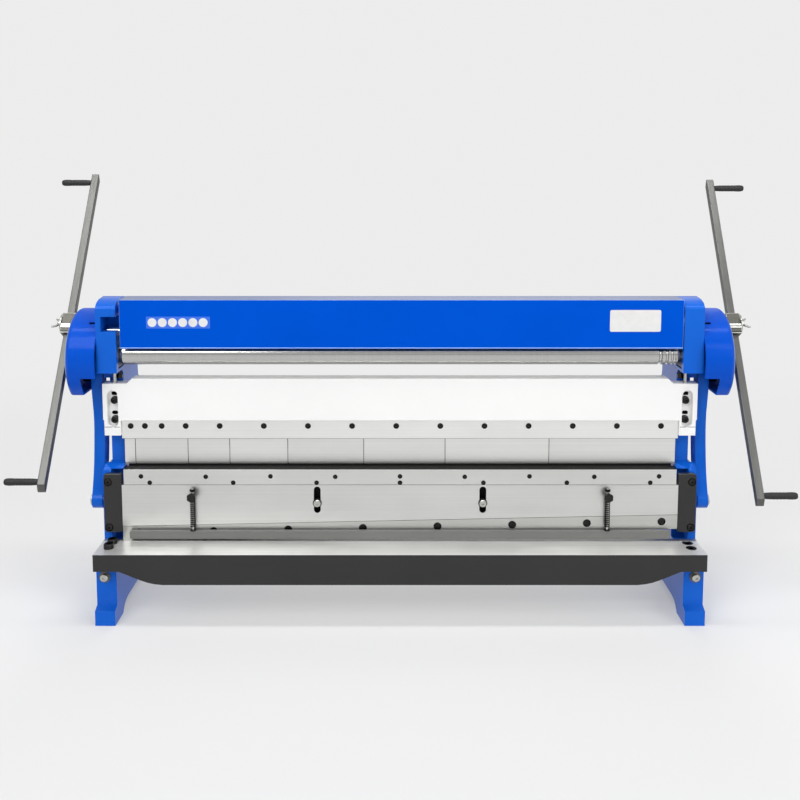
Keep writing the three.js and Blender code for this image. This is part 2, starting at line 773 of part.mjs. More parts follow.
// A closed tube of a few sides along a list of points, with a flat face at each end.
function tubeAlong(path, radius, facets) {
  const positions = [];
  const triangles = [];
  const up = new THREE.Vector3(0, 0, 1);
  path.forEach((point, i) => {
    const ahead = path[Math.min(i + 1, path.length - 1)];
    const behind = path[Math.max(i - 1, 0)];
    const end = i === 0 || i === path.length - 1;
    const along = end ? up.clone() : ahead.clone().sub(behind).normalize();
    const centre = new THREE.Vector3(point.x - pathCentre(path).x, point.y - rodY, 0).normalize();
    const across = new THREE.Vector3().crossVectors(along, centre).normalize();
    const out = new THREE.Vector3().crossVectors(across, along);
    for (let k = 0; k < facets; k++) {
      const angle = (k * 2 * Math.PI) / facets;
      const corner = point.clone();
      corner.addScaledVector(out, radius * Math.cos(angle));
      corner.addScaledVector(across, radius * Math.sin(angle));
      positions.push(corner.x, corner.y, corner.z);
    }
  });
  for (let i = 0; i < path.length - 1; i++)
    for (let k = 0; k < facets; k++) {
      const a = i * facets + k;
      const b = i * facets + ((k + 1) % facets);
      triangles.push(a, b, b + facets, a, b + facets, a + facets);
    }
  const final = (path.length - 1) * facets;
  for (let k = 1; k < facets - 1; k++) {
    triangles.push(0, k + 1, k);
    triangles.push(final, final + k, final + k + 1);
  }
  const geometry = new THREE.BufferGeometry();
  geometry.setAttribute("position", new THREE.BufferAttribute(new Float32Array(positions), 3));
  geometry.setIndex(triangles);
  const volume = solid(geometry).volume();
  if (volume < 0) triangles.reverse();
  geometry.setIndex(triangles);
  return geometry;
}

const pathCentre = (path) => ({ x: path[0].x - spring.coil });

function makeBeam() {
  const lugBack = frame.waistFront - gap;
  const inset = halfBeam - beam.lugInset;
  const chamferIn = halfBed - beam.endRoom;
  const lugStep = lugTop - beam.lugStep;
  const lugBottom = beamBottom - beam.lugDrop;
  const tongueBottom = beamBottom - beam.tongueDrop;
  const half = [
    [halfBeam, lugStep],
    [halfBeam, lugTop],
    [chamferIn + beam.crown, lugTop],
    [chamferIn, beamTop],
  ];
  const inner = [
    [innerFace + gap, beamBottom],
    [innerFace + gap, lugBottom],
    [inset, lugBottom],
    [inset, lugStep],
  ];
  const right = [...inner, ...half];
  const left = right.map(([x, z]) => [-x, z]).reverse();
  let shape = frontSlab([...right, ...left], beam.front, lugBack);
  const rear = [
    [lugBack - overrun, beamBottom],
    [lugBack - overrun, beamTop],
    [beam.topBack, beamTop],
    [beam.back, beamTop - beam.shoulderDrop],
    [beam.back, tongueBottom],
    [finger.front + finger.thick + gap, tongueBottom],
    [finger.front + finger.thick + gap, beamBottom],
  ];
  shape = shape.add(sideSlab(rear, -chamferIn, chamferIn));
  for (const { sign } of sides) {
    const x = sign * (innerFace + beam.slotIn);
    const front = beam.front - overrun;
    const back = beam.front + beam.slotDepth;
    const slotTop = lugTop - beam.slotDrop;
    const ends = [slotTop - beam.slotLength + beam.slotHalf, slotTop - beam.slotHalf];
    shape = shape.subtract(box([x - beam.slotHalf, x + beam.slotHalf], [front, back], ends));
    for (const z of ends) shape = shape.subtract(rodY_(beam.slotHalf, front, back, x, z, coarse));
  }
  piece("upper_beam", shape, whiteEnamel);

  const clampBack = finger.front - gap;
  piece(
    "finger_clamp_bar",
    box([-innerFace, innerFace], [clampBar.front, clampBack], [beamBottom - clampBar.drop, beamBottom - gap]),
    groundSteel,
  );

  const back = finger.front + finger.thick;
  const top = beamBottom - gap;
  const profile = [
    [finger.front, top],
    [finger.front, fingerBottom + finger.bevel],
    [die.grooveY - finger.tip, fingerBottom],
    [die.grooveY + finger.tip, fingerBottom],
    [back, fingerBottom + finger.backBevel],
    [back, top],
  ];
  const total = fingerWidths.reduce((sum, width) => sum + width, 0);
  let start = -halfBed;
  fingerWidths.forEach((width, i) => {
    const end = start + (width * bedWidth) / total;
    const shape = sideSlab(profile, start + finger.joint / 2, end - finger.joint / 2);
    piece(`bending_finger_${i + 1}`, shape, groundSteel);
    start = end;
  });
}

function makeGuidePlate({ name, sign }) {
  const back = frame.seat - gap;
  const shape = box(
    [sign * (halfBed + 2 * gap), sign * (outerFace - guide.overhang)],
    [back - guide.thick, back],
    [tableTop + guide.rise, level.seatTop],
  );
  piece(`guide_plate_${name}`, shape, greyEnamel);
}

// The arm's head is a yoke: the crank pin rolls across its window and lifts it.
function makeArm({ name, sign }) {
  const from = sign * armStart;
  const to = sign * armEnd;
  const inside = sign * (armStart - overrun);
  const outside = sign * (armEnd + overrun);
  const windowZ = shaftHeight + ramPerTurn * restSwing;
  const nearest = -shaft.throw * Math.cos(swingLimit);
  const window = {
    front: -shaft.throw - shaft.pin - 2 * gap,
    back: nearest + shaft.pin + 2 * gap,
    low: windowZ - shaft.pin - arm.slack,
    high: windowZ + shaft.pin + arm.slack,
  };
  const reach = windowZ - armPinZ;
  const points = armLineShares.map(
    ({ up, back }) => new THREE.Vector3(0, arm.pinY + back * arm.bow, armPinZ + up * reach),
  );
  const line = new THREE.CatmullRomCurve3(points).getPoints(armSteps);
  const outline = [
    ...line.map((point) => [point.y - arm.half, point.z]),
    ...line.map((point) => [point.y + arm.half, point.z]).reverse(),
  ];
  const cut = arm.wall / 2;
  const yoke = [
    [window.front - arm.wall, window.low - arm.wall],
    [window.back + arm.wall, window.low - arm.wall],
    [window.back + arm.wall, window.high + arm.wall - cut],
    [window.back + arm.wall - cut, window.high + arm.wall],
    [window.front - arm.wall + cut, window.high + arm.wall],
    [window.front - arm.wall, window.high + arm.wall - cut],
  ];
  const shape = sideSlab(outline, from, to)
    .add(sideSlab(yoke, from, to))
    .add(rodX(arm.boss, from, to, arm.pinY, armPinZ))
    .subtract(box([inside, outside], [window.front, window.back], [window.low, window.high]))
    .subtract(rodX(arm.pin + gap, inside, outside, arm.pinY, armPinZ));
  piece(`connecting_arm_${name}`, shape, blueEnamel);

  const pinStart = sign * (halfBed + gap);
  const headStart = sign * (armEnd + gap);
  const pin = rodX(arm.pin, pinStart, headStart, arm.pinY, armPinZ).add(
    rodX(pinHead.radius, headStart, headStart + sign * pinHead.thick, arm.pinY, armPinZ),
  );
  piece(`connecting_arm_pin_${name}`, pin, plainSteel);
}

// The eccentric shaft across the machine, with a web and a crank pin at each end, and a bull gear on each pin.
function makeEccentricShaft() {
  const pinY = -shaft.throw * Math.cos(restSwing);
  const pinZ = shaftHeight + shaft.throw * Math.sin(restSwing);
  const bullStart = outerFace + bull.start;
  let shape = rodX(shaft.radius, -webStart - gap - bite, webStart + gap + bite, 0, shaftHeight);
  for (const { sign } of sides) {
    const from = sign * (webStart + gap);
    const to = from + sign * shaft.webThick;
    shape = shape
      .add(rodX(shaft.web, from, to, 0, shaftHeight, fine))
      .add(rodX(shaft.pin, from, sign * (bullStart - gap), pinY, pinZ));
  }
  piece("eccentric_shaft", shape, plainSteel);
  for (const { name, sign } of sides) {
    const gear = sideSlab(gearOutline(bullTeeth, shaftModule, Math.PI / 2 + Math.PI / bullTeeth), 0, bull.width);
    const mesh = piece(`bull_gear_${name}`, gear, blackSteel);
    mesh.position.set(sign > 0 ? bullStart : -bullStart - bull.width, 0, shaftHeight);
  }
}

function makeTopRolls() {
  const body = (y, z, journal, leftEnd, rightEnd, marks) => {
    const profile = [
      [0, leftEnd],
      [journal, leftEnd],
      [journal, -halfRoll],
      [roll.radius - roll.chamfer, -halfRoll],
      [roll.radius, -halfRoll + roll.chamfer],
    ];
    for (const share of marks) {
      const x = halfRoll - groove.inset * share.inset;
      const half = groove.half * share.half;
      profile.push([roll.radius, x - half], [roll.radius - half, x], [roll.radius, x + half]);
    }
    profile.push(
      [roll.radius, halfRoll - roll.chamfer],
      [roll.radius - roll.chamfer, halfRoll],
      [journal, halfRoll],
      [journal, rightEnd],
      [0, rightEnd],
    );
    return turned(profile, y, z);
  };
  const journalEnd = bearingEnd - zone.side;
  const seatEnd = gearEnd - zone.side;
  const withSeat = (shape, y, z) => shape.add(rodX(roll.gearSeat, journalEnd - overrun, seatEnd, y, z));
  const upperLeft = -innerFace - notch.width + overrun;
  const upper = body(upperRoll.y, upperRoll.z, roll.journal, upperLeft, journalEnd, []);
  piece("upper_roll", withSeat(upper, upperRoll.y, upperRoll.z), groundSteel);
  const lower = body(lowerRoll.y, lowerRoll.z, roll.journal, -journalEnd, journalEnd, grooveShares);
  piece("lower_roll", withSeat(lower, lowerRoll.y, lowerRoll.z), groundSteel);
  const rear = body(rearRoll.y, rearRoll.z, rearRoll.journal, -journalEnd, journalEnd, grooveShares);
  piece("rear_roll", rear, groundSteel);

  // The three gears mesh at rest: the upper roll's gear has a tooth straight down.
  const bored = (outline) =>
    sideSlab(outline, bearingEnd + zone.side, gearEnd - zone.side).subtract(
      rodX(roll.gearSeat + gap, bearingEnd - overrun, gearEnd + overrun, 0, 0),
    );
  const down = -Math.PI / 2;
  const upperGear = piece("upper_roll_gear", bored(gearOutline(rollTeeth, rollModule, down)), blackSteel);
  upperGear.position.set(0, upperRoll.y, upperRoll.z);
  const lowerTurn = meshTurn(down, 0, rollTeeth, rollTeeth);
  const lowerGear = piece("lower_roll_gear", bored(gearOutline(rollTeeth, rollModule, lowerTurn)), blackSteel);
  lowerGear.position.set(0, lowerRoll.y, lowerRoll.z);
  const line = Math.atan2(crankHeight - upperRoll.z, -upperRoll.y);
  const pitch = (2 * Math.PI) / rollTeeth;
  const ahead = down - line - pitch * Math.round((down - line) / pitch);
  const driveTurn = meshTurn(line, ahead, driveTeeth, rollTeeth);
  const driveGear = piece("roll_drive_gear", bored(gearOutline(driveTeeth, rollModule, driveTurn)), blackSteel);
  driveGear.position.set(0, 0, crankHeight);
}

function makeBearings({ name, sign }) {
  const from = sign * (innerFace + zone.side);
  const to = sign * (bearingEnd - zone.side);
  const inside = sign * (innerFace - overrun);
  const outside = sign * (bearingEnd + overrun);
  const x = sign * adjusterX;
  const rearX = sign * rearAdjusterX;
  const bottom = lowerRoll.z - block.below;
  const screwTop = head.bottom + adjuster.reach;
  const lowerBlock = box(
    [from, to],
    [lowerRoll.y - block.half, lowerRoll.y + block.half],
    [bottom, lowerRoll.z + block.above],
  )
    .subtract(rodX(roll.journal + gap, inside, outside, lowerRoll.y, lowerRoll.z))
    .subtract(rodZ(adjuster.radius + gap, bottom - overrun, screwTop + lowerRoll.drop + gap, x, adjusterY, coarse));
  piece(`lower_bearing_block_${name}`, lowerBlock, plainSteel);
  const headTop = head.bottom - adjuster.headDrop;
  const lowerScrew = rodZ(adjuster.radius, headTop - bite, screwTop, x, adjusterY, coarse).add(
    rodZ(adjuster.head, headTop - adjuster.headHeight, headTop, x, adjusterY, hex),
  );
  piece(`lower_adjusting_screw_${name}`, lowerScrew, plainSteel);

  const rearBlock = sideSlab(rearSquare(block.rear, -block.rear, block.rear), from, to)
    .subtract(rodX(rearRoll.journal + gap, inside, outside, rearRoll.y, rearRoll.z))
    .subtract(rearRod(adjuster.radius + gap, -block.rear - overrun, -rearRoll.journal, rearX));
  piece(`rear_bearing_block_${name}`, rearBlock, plainSteel);
  const screwEnd = -adjuster.rearOut;
  const rearScrew = rearRod(adjuster.radius, screwEnd, -block.rear + adjuster.rearGrip, rearX).add(
    rearRod(adjuster.head, screwEnd - adjuster.headHeight, screwEnd, rearX, hex),
  );
  piece(`rear_adjusting_screw_${name}`, rearScrew, plainSteel);
}

function makeGearCover({ name, sign }) {
  const outer = { start: sign * (outerFace + gap), end: sign * coverEnd };
  const disc = (radius, from, to) => rodX(radius, from, to, 0, shaftHeight, fine);
  const farBelow = shaftHeight - 2 * coverRadius;
  const wide = 2 * coverRadius;
  const inner = coverRadius - cover.wall;
  const past = sign * (outerFace - overrun);
  const hollow = disc(inner, past, outer.end - sign * cover.wall).subtract(
    box([past, outer.end], [-wide, wide], [farBelow, coverFloor + cover.wall]),
  );
  const shape = disc(coverRadius, outer.start, outer.end)
    .subtract(box([past, outer.end + sign * overrun], [-wide, wide], [farBelow, coverFloor]))
    .subtract(hollow)
    .subtract(
      box([past, sign * (outerFace + cover.cutWidth)], [-wide, wide], [farBelow, shaftHeight - cover.cutDrop]),
    )
    .subtract(rodX(crankRadius + cover.shaftRoom, past, outer.end + sign * overrun, 0, crankHeight));
  piece(`gear_cover_${name}`, shape, blueEnamel);
}

// One crank: shaft and pinion, then the hub, the bar through it, a grip at each end and the wing screw.
function makeCrank({ name, sign }) {
  const slide = crankSlide[name];
  const out = crankOut[name];
  const line = new THREE.Group();
  line.position.set(0, 0, crankHeight);
  machine.add(line);
  const pinionStart = outerFace + bull.start - bull.overlap;
  const pinion = sideSlab(
    gearOutline(pinionTeeth, shaftModule, -Math.PI / 2),
    sign * pinionStart,
    sign * (pinionStart + bull.width + 2 * bull.overlap),
  );
  const shaftEnd = barStart + out - hub.bore;
  const crankShaft = rodX(crankRadius, sign * (innerFace + sideRoom), sign * shaftEnd, 0, 0).add(pinion);
  piece(`crank_shaft_${name}`, crankShaft, plainSteel, line);

  // Everything on the hub stands in a frame of its own, tilted and moved out along the shaft.
  const tilted = new THREE.Group();
  tilted.rotation.x = crankTilt[name];
  tilted.position.x = sign * out;
  line.add(tilted);
  const hubStart = sign * (coverEnd + hub.start);
  const hubEnd = sign * (coverEnd + hub.start + hub.length);
  const hole = bar.side / 2 + gap;
  const square = [sign * (barStart - gap), sign * (barEnd + gap)];
  const hubShape = box([hubStart, hubEnd], [-hub.halfWide, hub.halfWide], [-hub.halfHigh, hub.halfHigh])
    .add(rodX(hub.disc, hubEnd - sign * hub.discThick, hubEnd, 0, 0))
    .subtract(box(square, [-hole, hole], [-2 * hub.disc, 2 * hub.disc]))
    .subtract(rodX(crankRadius + gap, hubStart - sign * overrun, sign * (barStart - gap / 2), 0, 0))
    .subtract(rodX(wing.screw + gap, sign * barEnd, hubEnd + sign * overrun, 0, 0, coarse));
  piece(`crank_hub_${name}`, hubShape, plainSteel, tilted);

  const gripAt = bar.half - bar.gripInset;
  const studEnd = barEnd + grip.length - grip.studRoom;
  const halfSide = bar.side / 2;
  const mitred = [
    [-halfSide, -bar.half + bar.cut],
    [-halfSide + bar.cut, -bar.half],
    [halfSide, -bar.half],
    [halfSide, bar.half - bar.cut],
    [halfSide - bar.cut, bar.half],
    [-halfSide, bar.half],
  ];
  let barShape = sideSlab(mitred, sign * barStart, sign * barEnd);
  for (const end of [-1, 1])
    barShape = barShape.add(rodX(bar.stud, sign * (barEnd - overrun), sign * studEnd, 0, end * gripAt, coarse));
  piece(`crank_bar_${name}`, barShape, plainSteel, tilted).position.z = slide;

  for (const [place, end] of [
    ["top", 1],
    ["bottom", -1],
  ]) {
    const gripStart = barEnd + gap;
    const gripEnd = barEnd + grip.length;
    const profile = [
      [bar.stud + gap, sign * gripStart],
      [grip.neck, sign * gripStart],
      [grip.radius, sign * (gripStart + grip.taper)],
      [grip.radius, sign * (gripEnd - grip.taper)],
      [grip.nose, sign * gripEnd],
      [0, sign * gripEnd],
      [0, sign * (studEnd + gap)],
      [bar.stud + gap, sign * (studEnd + gap)],
      [bar.stud + gap, sign * gripStart],
    ];
    const mesh = piece(`crank_grip_${name}_${place}`, turned(profile, 0, 0, coarse), darkPlastic, tilted);
    mesh.position.z = slide + end * gripAt;
  }

  const screwStart = sign * (barEnd + 2 * gap);
  const wingStart = hubEnd + sign * gap;
  const at = (share) => wingStart + sign * wing.reach * share;
  const wings = wingShares.map(([along, across]) => [at(along), wing.half * across]);
  const wingShape = frontSlab([...wings, ...mirrored(wings)], -wing.thick / 2, wing.thick / 2).add(
    rodX(wing.screw, screwStart, at(wing.root), 0, 0, coarse),
  );
  piece(`wing_screw_${name}`, wingShape, plainSteel, tilted);
}

// The sheet cover: a front wall, a top with a lip behind, and a flange at each end above the roll.
function makeHood() {
  const front = head.front - hood.stand;
  const top = head.top + hood.rise;
  const bottom = upperRoll.z - hood.drop;
  const left = -innerFace + hood.leftRoom;
  const right = innerFace - hood.rightRoom;
  const section = [
    [front, bottom],
    [front, top],
    [hood.back, top],
    [hood.back, top - hood.lip],
    [hood.back - hood.wall, top - hood.lip],
    [hood.back - hood.wall, top - hood.wall],
    [front + hood.wall, top - hood.wall],
    [front + hood.wall, bottom],
  ];
  let shape = sideSlab(section, left, right);
  const flange = [
    [front + hood.wall / 2, top - hood.flange],
    [hood.back - hood.wall / 2, top - hood.flange],
    [hood.back - hood.wall / 2, top - hood.wall / 2],
    [front + hood.wall / 2, top - hood.wall / 2],
  ];
  shape = shape.add(sideSlab(flange, left, left + hood.wall)).add(sideSlab(flange, right - hood.wall, right));
  piece("top_cover", shape, blueEnamel);
}

sides.forEach(makeFrame);
makeTable();
sides.forEach(makeGuidePlate);
makeRam();
makeHoldDown();
makeBeam();
sides.forEach(makeArm);
makeEccentricShaft();
makeTopRolls();
sides.forEach(makeBearings);
sides.forEach(makeGearCover);
sides.forEach(makeCrank);
makeHood();

export default machine;
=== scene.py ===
# A bench machine for sheet metal: bending rolls on top, a finger brake in the middle and a shear below.
import json
import math
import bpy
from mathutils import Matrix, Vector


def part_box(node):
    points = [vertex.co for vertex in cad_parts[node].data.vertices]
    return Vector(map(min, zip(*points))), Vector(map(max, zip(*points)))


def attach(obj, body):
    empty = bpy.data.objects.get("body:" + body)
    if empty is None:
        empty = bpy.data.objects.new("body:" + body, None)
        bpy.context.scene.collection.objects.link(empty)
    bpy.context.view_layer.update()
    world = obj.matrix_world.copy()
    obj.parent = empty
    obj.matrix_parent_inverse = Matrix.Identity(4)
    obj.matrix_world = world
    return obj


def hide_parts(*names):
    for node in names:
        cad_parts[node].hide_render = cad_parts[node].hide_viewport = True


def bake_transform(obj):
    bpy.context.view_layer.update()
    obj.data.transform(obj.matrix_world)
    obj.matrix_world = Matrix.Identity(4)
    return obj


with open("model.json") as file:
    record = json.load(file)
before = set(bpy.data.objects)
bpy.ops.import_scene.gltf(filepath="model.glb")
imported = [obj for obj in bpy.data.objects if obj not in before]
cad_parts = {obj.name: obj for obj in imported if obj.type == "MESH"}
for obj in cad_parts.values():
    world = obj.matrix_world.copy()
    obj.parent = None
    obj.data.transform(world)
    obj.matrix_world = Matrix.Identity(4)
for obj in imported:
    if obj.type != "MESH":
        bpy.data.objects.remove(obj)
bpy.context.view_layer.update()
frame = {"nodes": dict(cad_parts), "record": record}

from types import SimpleNamespace as Sizes

import bmesh
import bpy
from mathutils import Matrix, Vector

# Shapes are worked out in millimetres, in the frame of the CAD model
MM = 0.001
WELD = 0.002
FLAT = math.radians(0.6)
SIDES = (("left", -1), ("right", 1))
X, Y, Z = Vector((1, 0, 0)), Vector((0, 1, 0)), Vector((0, 0, 1))

BODY_OF = {node: body for body, nodes in frame["record"]["behaviour"]["bodies"].items() for node in nodes}
SLOT_OF = {part["node"]: part["material_slot"] for part in frame["record"]["subparts"]}


def placed(name, data):
    """A new object in the scene."""
    thing = bpy.data.objects.new(name, data)
    bpy.context.scene.collection.objects.link(thing)
    return thing


# The camera stands a little above the machine, in front of its middle, and looks down at it
FRAME_PX = 800
FOCAL_PX = 958
MIDDLE_PX = 255.7
SENSOR = 36
CAMERA_AT = Vector((0, -2296, 1090))
CAMERA_DOWN = math.radians(6)


def make_camera():
    lens = bpy.data.cameras.new("camera")
    lens.sensor_width = SENSOR
    lens.lens = SENSOR * FOCAL_PX / FRAME_PX
    lens.shift_y = (MIDDLE_PX - FRAME_PX / 2) / FRAME_PX
    camera = placed("camera", lens)
    camera.location = CAMERA_AT * MM
    camera.rotation_euler = (math.pi / 2 - CAMERA_DOWN, 0, 0)
    bpy.context.scene.camera = camera


# Finishes


def linear(code):
    """An sRGB hex colour as the linear colour that a shader takes."""
    parts = [int(code[i : i + 2], 16) / 255 for i in (1, 3, 5)]
    return (*[c / 12.92 if c <= 0.04045 else ((c + 0.055) / 1.055) ** 2.4 for c in parts], 1)


def per(size):
    """The scale of a pattern whose grains are that many millimetres across."""
    return 1 / (size * MM)


def add(tree, kind, inputs, **settings):
    """One node. Each input takes a value, or the output of another node."""
    node = tree.nodes.new(kind)
    for name, value in settings.items():
        setattr(node, name, value)
    for socket, value in inputs.items():
        if isinstance(value, bpy.types.NodeSocket):
            tree.links.new(value, node.inputs[socket])
        else:
            node.inputs[socket].default_value = value
    return node


def begin(name):
    """An empty material, its nodes, and the place of a point on the machine in metres."""
    material = bpy.data.materials.new(name)
    material.use_nodes = True
    tree = material.node_tree
    tree.nodes.clear()
    return material, tree, add(tree, "ShaderNodeTexCoord", {}).outputs["Object"]


def end(material, tree, inputs):
    """Closes the material with a surface that has those inputs."""
    shader = add(tree, "ShaderNodeBsdfPrincipled", inputs)
    add(tree, "ShaderNodeOutputMaterial", {"Surface": shader.outputs["BSDF"]})
    return material


def cloudy(tree, place, size, detail):
    """A pattern whose grains have one size every way."""
    inputs = {"Vector": place, "Scale": per(size), "Detail": detail}
    return add(tree, "ShaderNodeTexNoise", inputs).outputs["Fac"]


def streaky(tree, place, sizes, detail):
    """A pattern whose grains have the given size along each axis."""
    scaled = add(tree, "ShaderNodeMapping", {"Vector": place, "Scale": [per(size) for size in sizes]})
    inputs = {"Vector": scaled.outputs["Vector"], "Scale": 1.0, "Detail": detail}
    return add(tree, "ShaderNodeTexNoise", inputs).outputs["Fac"]


def mixed(tree, share, first, second):
    inputs = {"Fac": share, "Color1": first, "Color2": second}
    return add(tree, "ShaderNodeMixRGB", inputs).outputs["Color"]


def bumps(tree, pattern, strength, height):
    """The surface's direction, with the pattern standing up from it by that many millimetres."""
    inputs = {"Strength": strength, "Distance": height * MM, "Height": pattern}
    return add(tree, "ShaderNodeBump", inputs).outputs["Normal"]


def sprayed_enamel(name, colour, deep, peel, rough, coat, tint="#FFFFFF"):
    """Gloss enamel on iron or sheet: a slow drift of tone and the fine dimples that a spray gun leaves.
    tint colours what the paint reflects head on, and leaves the white sheen at a low angle."""
    material, tree, place = begin(name)
    drift = cloudy(tree, place, 160, 2.0)
    dimples = cloudy(tree, place, 3.5, 1.0)
    inputs = {
        "Base Color": mixed(tree, drift, linear(colour), linear(deep)),
        "Roughness": rough,
        "IOR": 1.5,
        "Specular Tint": linear(tint),
        "Coat Weight": coat,
        "Coat Roughness": 0.12,
        "Normal": bumps(tree, dimples, peel, 0.3),
    }
    return end(material, tree, inputs)


# How far the roughness of ground steel goes up and down
DULLER = 0.05


def ground_steel(name, colour, streak, rough, metal=1.0, pitch=2.2):
    """Surface-ground tool steel: fine lines along the wheel's travel, and broad soft clouds of oil and light.
    The lines are drawn about ten times as coarse as the real ones, so that they show."""
    material, tree, place = begin(name)
    lines = streaky(tree, place, (900, pitch, pitch), 4.0)
    clouds = streaky(tree, place, (240, 90, 90), 3.0)
    blend = mixed(tree, 0.45, clouds, lines)
    spread = {"From Min": 0.3, "From Max": 0.7, "To Min": rough - DULLER, "To Max": rough + DULLER}
    dull = add(tree, "ShaderNodeMapRange", {"Value": clouds, **spread})
    inputs = {
        "Base Color": mixed(tree, blend, linear(streak), linear(colour)),
        "Metallic": metal,
        "Roughness": dull.outputs["Result"],
        "Normal": bumps(tree, lines, 0.12, 0.1),
    }
    return end(material, tree, inputs)


def worked_steel(name, colour, dark, rough, grain=(6, 6, 6), depth=0.1):
    """Turned, drawn or plated steel: a faint mottle whose grains have the given size along each axis."""
    material, tree, place = begin(name)
    mottle = streaky(tree, place, grain, 3.0)
    inputs = {
        "Base Color": mixed(tree, mottle, linear(dark), linear(colour)),
        "Metallic": 1.0,
        "Roughness": rough,
        "Normal": bumps(tree, mottle, depth, 0.1),
    }
    return end(material, tree, inputs)


def moulded_plastic():
    """Black nylon of the crank grips, with the matt grain of its mould."""
    material, tree, place = begin("grip_nylon")
    grain = cloudy(tree, place, 1.6, 2.0)
    inputs = {
        "Base Color": mixed(tree, grain, linear("#0B0B0C"), linear("#19191A")),
        "Roughness": 0.6,
        "IOR": 1.53,
        "Normal": bumps(tree, grain, 0.3, 0.2),
    }
    return end(material, tree, inputs)


def vinyl(name, colour, shade):
    """Printed vinyl film, flat and slightly glossy, with the faint waves of glue beneath it."""
    material, tree, place = begin(name)
    waves = cloudy(tree, place, 14, 1.0)
    inputs = {
        "Base Color": mixed(tree, waves, linear(colour), linear(shade)),
        "Roughness": 0.3,
        "IOR": 1.5,
        "Normal": bumps(tree, waves, 0.05, 0.2),
    }
    return end(material, tree, inputs)


CAST_BLUE = sprayed_enamel("blue_enamel_on_iron", "#1464CE", "#0856BE", 0.2, 0.3, 0.2, "#3060E0")
COVER_BLUE = sprayed_enamel("blue_enamel_on_covers", "#0450C4", "#0046B2", 0.15, 0.44, 0.12, "#1E50E0")
SHEET_BLUE = sprayed_enamel("blue_enamel_on_sheet", "#0050C8", "#004ABE", 0.05, 0.34, 0.0, "#1450E0")
# Painted sheen: a greyer blue under a heavy coat, for the faces of the top cover that look up
SHEEN_BLUE = sprayed_enamel("blue_enamel_painted_sheen", "#2A5090", "#264A8A", 0.05, 0.3, 0.6)
# Painted highlight: a pale blue for the folds and hem of the top cover and the rims of the gear covers
HIGHLIGHT_BLUE = sprayed_enamel("pale_enamel_painted_highlight", "#9FBCEE", "#7FA6E6", 0.05, 0.3, 0.2)
WHITE = sprayed_enamel("white_enamel", "#ECECEB", "#E6E6E5", 0.06, 0.42, 0.0)
GREY = sprayed_enamel("dark_grey_enamel", "#393939", "#333333", 0.25, 0.55, 0.0, "#606060")
BAR_GREY = sprayed_enamel("mid_grey_enamel", "#787876", "#6C6C6A", 0.12, 0.45, 0.0, "#909090")
GROUND = ground_steel("ground_steel", "#E6E6E4", "#C0C0BD", 0.38)
FINGER_TONES = (
    ground_steel("ground_finger_steel", "#F4F4F2", "#D4D4D1", 0.4),
    ground_steel("ground_finger_steel_pale", "#F6F6F4", "#D8D8D5", 0.4),
    ground_steel("ground_finger_steel_dull", "#F2F2F0", "#D2D2CF", 0.4),
)
BLADE_STEEL = ground_steel("ground_blade_steel", "#D4D4D1", "#B2B2AF", 0.38)
BAR_STEEL = ground_steel("ground_steel_bright", "#F7F7F5", "#E2E2DF", 0.4)
TABLE_STEEL = ground_steel("ground_table_steel", "#FFFFFD", "#C2C2BE", 0.38, 0.6, 9)
# Painted light: a pale, nearly matt steel that keeps the bevel at each finger's foot as bright as its front,
# hiding the bevel's shade
BEVEL_PAINTED_LIGHT = ground_steel("matt_steel_painted_light", "#E6E6E4", "#CECECB", 0.5, 0.1)
TURNED = worked_steel("turned_steel", "#C6C6C4", "#B2B2AF", 0.16, (1.5, 60, 60), 0.05)
DRAWN = worked_steel("drawn_steel", "#6E6E6C", "#5C5C5A", 0.4, (5, 40, 40), 0.12)
PLATED = worked_steel("plated_steel", "#C9C9C4", "#AEAEA8", 0.28)
HUB_STEEL = worked_steel("cast_plated_steel", "#72726C", "#50504B", 0.48, (4, 4, 4), 0.25)
BLACK = worked_steel("black_oxide_steel", "#1A1A1A", "#101010", 0.45)
SCREW = worked_steel("oiled_black_steel", "#3C3C3B", "#2A2A29", 0.34)
# Painted shade: a dark steel for the insides of bores, slots, holes and lines, for the joints between
# fingers, for faces that lean or look down, and for the die's land and groove
SHADE = worked_steel("dark_steel_painted_shade", "#2E2E2D", "#232322", 0.6)
GRIP = moulded_plastic()
LABEL = vinyl("label_vinyl", "#DEDEDD", "#D2D2D1")
TINT = vinyl("tinted_vinyl", "#2E6CDC", "#2A66D6")


# Meshes


def turned(shape, profile, at, axis, facets=32):
    """Adds a turned solid from points (along, radius). A third value, True, makes the ring a hexagon."""
    turn = axis.to_track_quat("Z", "Y").to_matrix()
    base = Vector(at)
    rings = []
    for along, radius, *hexagon in profile:
        ring = []
        for i in range(facets if radius else 1):
            angle = 2 * math.pi * i / facets
            reach = radius
            if hexagon:
                reach = radius * math.cos(math.pi / 6) / math.cos(angle % (math.pi / 3) - math.pi / 6)
            point = Vector((reach * math.cos(angle), reach * math.sin(angle), along))
            ring.append(shape.verts.new(base + turn @ point))
        rings.append(ring)
    for low, high in zip(rings, rings[1:]):
        for i in range(facets):
            j = i + 1
            corners = [low[i % len(low)], low[j % len(low)], high[j % len(high)], high[i % len(high)]]
            corners = list(dict.fromkeys(corners))
            if len(corners) > 2:
                shape.faces.new(corners)
    return shape


def rod(radius, start, stop):
    """The profile of a plain round rod."""
    return [(start, 0), (start, radius), (stop, radius), (stop, 0)]


def rounded(profile, radius, steps=3):
    """The profile with its inner corners rounded off by that radius."""
    points = [profile[0]]
    for before, corner, after in zip(profile, profile[1:], profile[2:]):
        here = Vector(corner)
        back, on = Vector(before) - here, Vector(after) - here
        reach = min(radius, back.length * 0.45, on.length * 0.45)
        start, stop = here + back.normalized() * reach, here + on.normalized() * reach
        for i in range(steps + 1):
            t = i / steps
            points.append(tuple((1 - t) ** 2 * start + 2 * t * (1 - t) * here + t * t * stop))
    return [*points, profile[-1]]


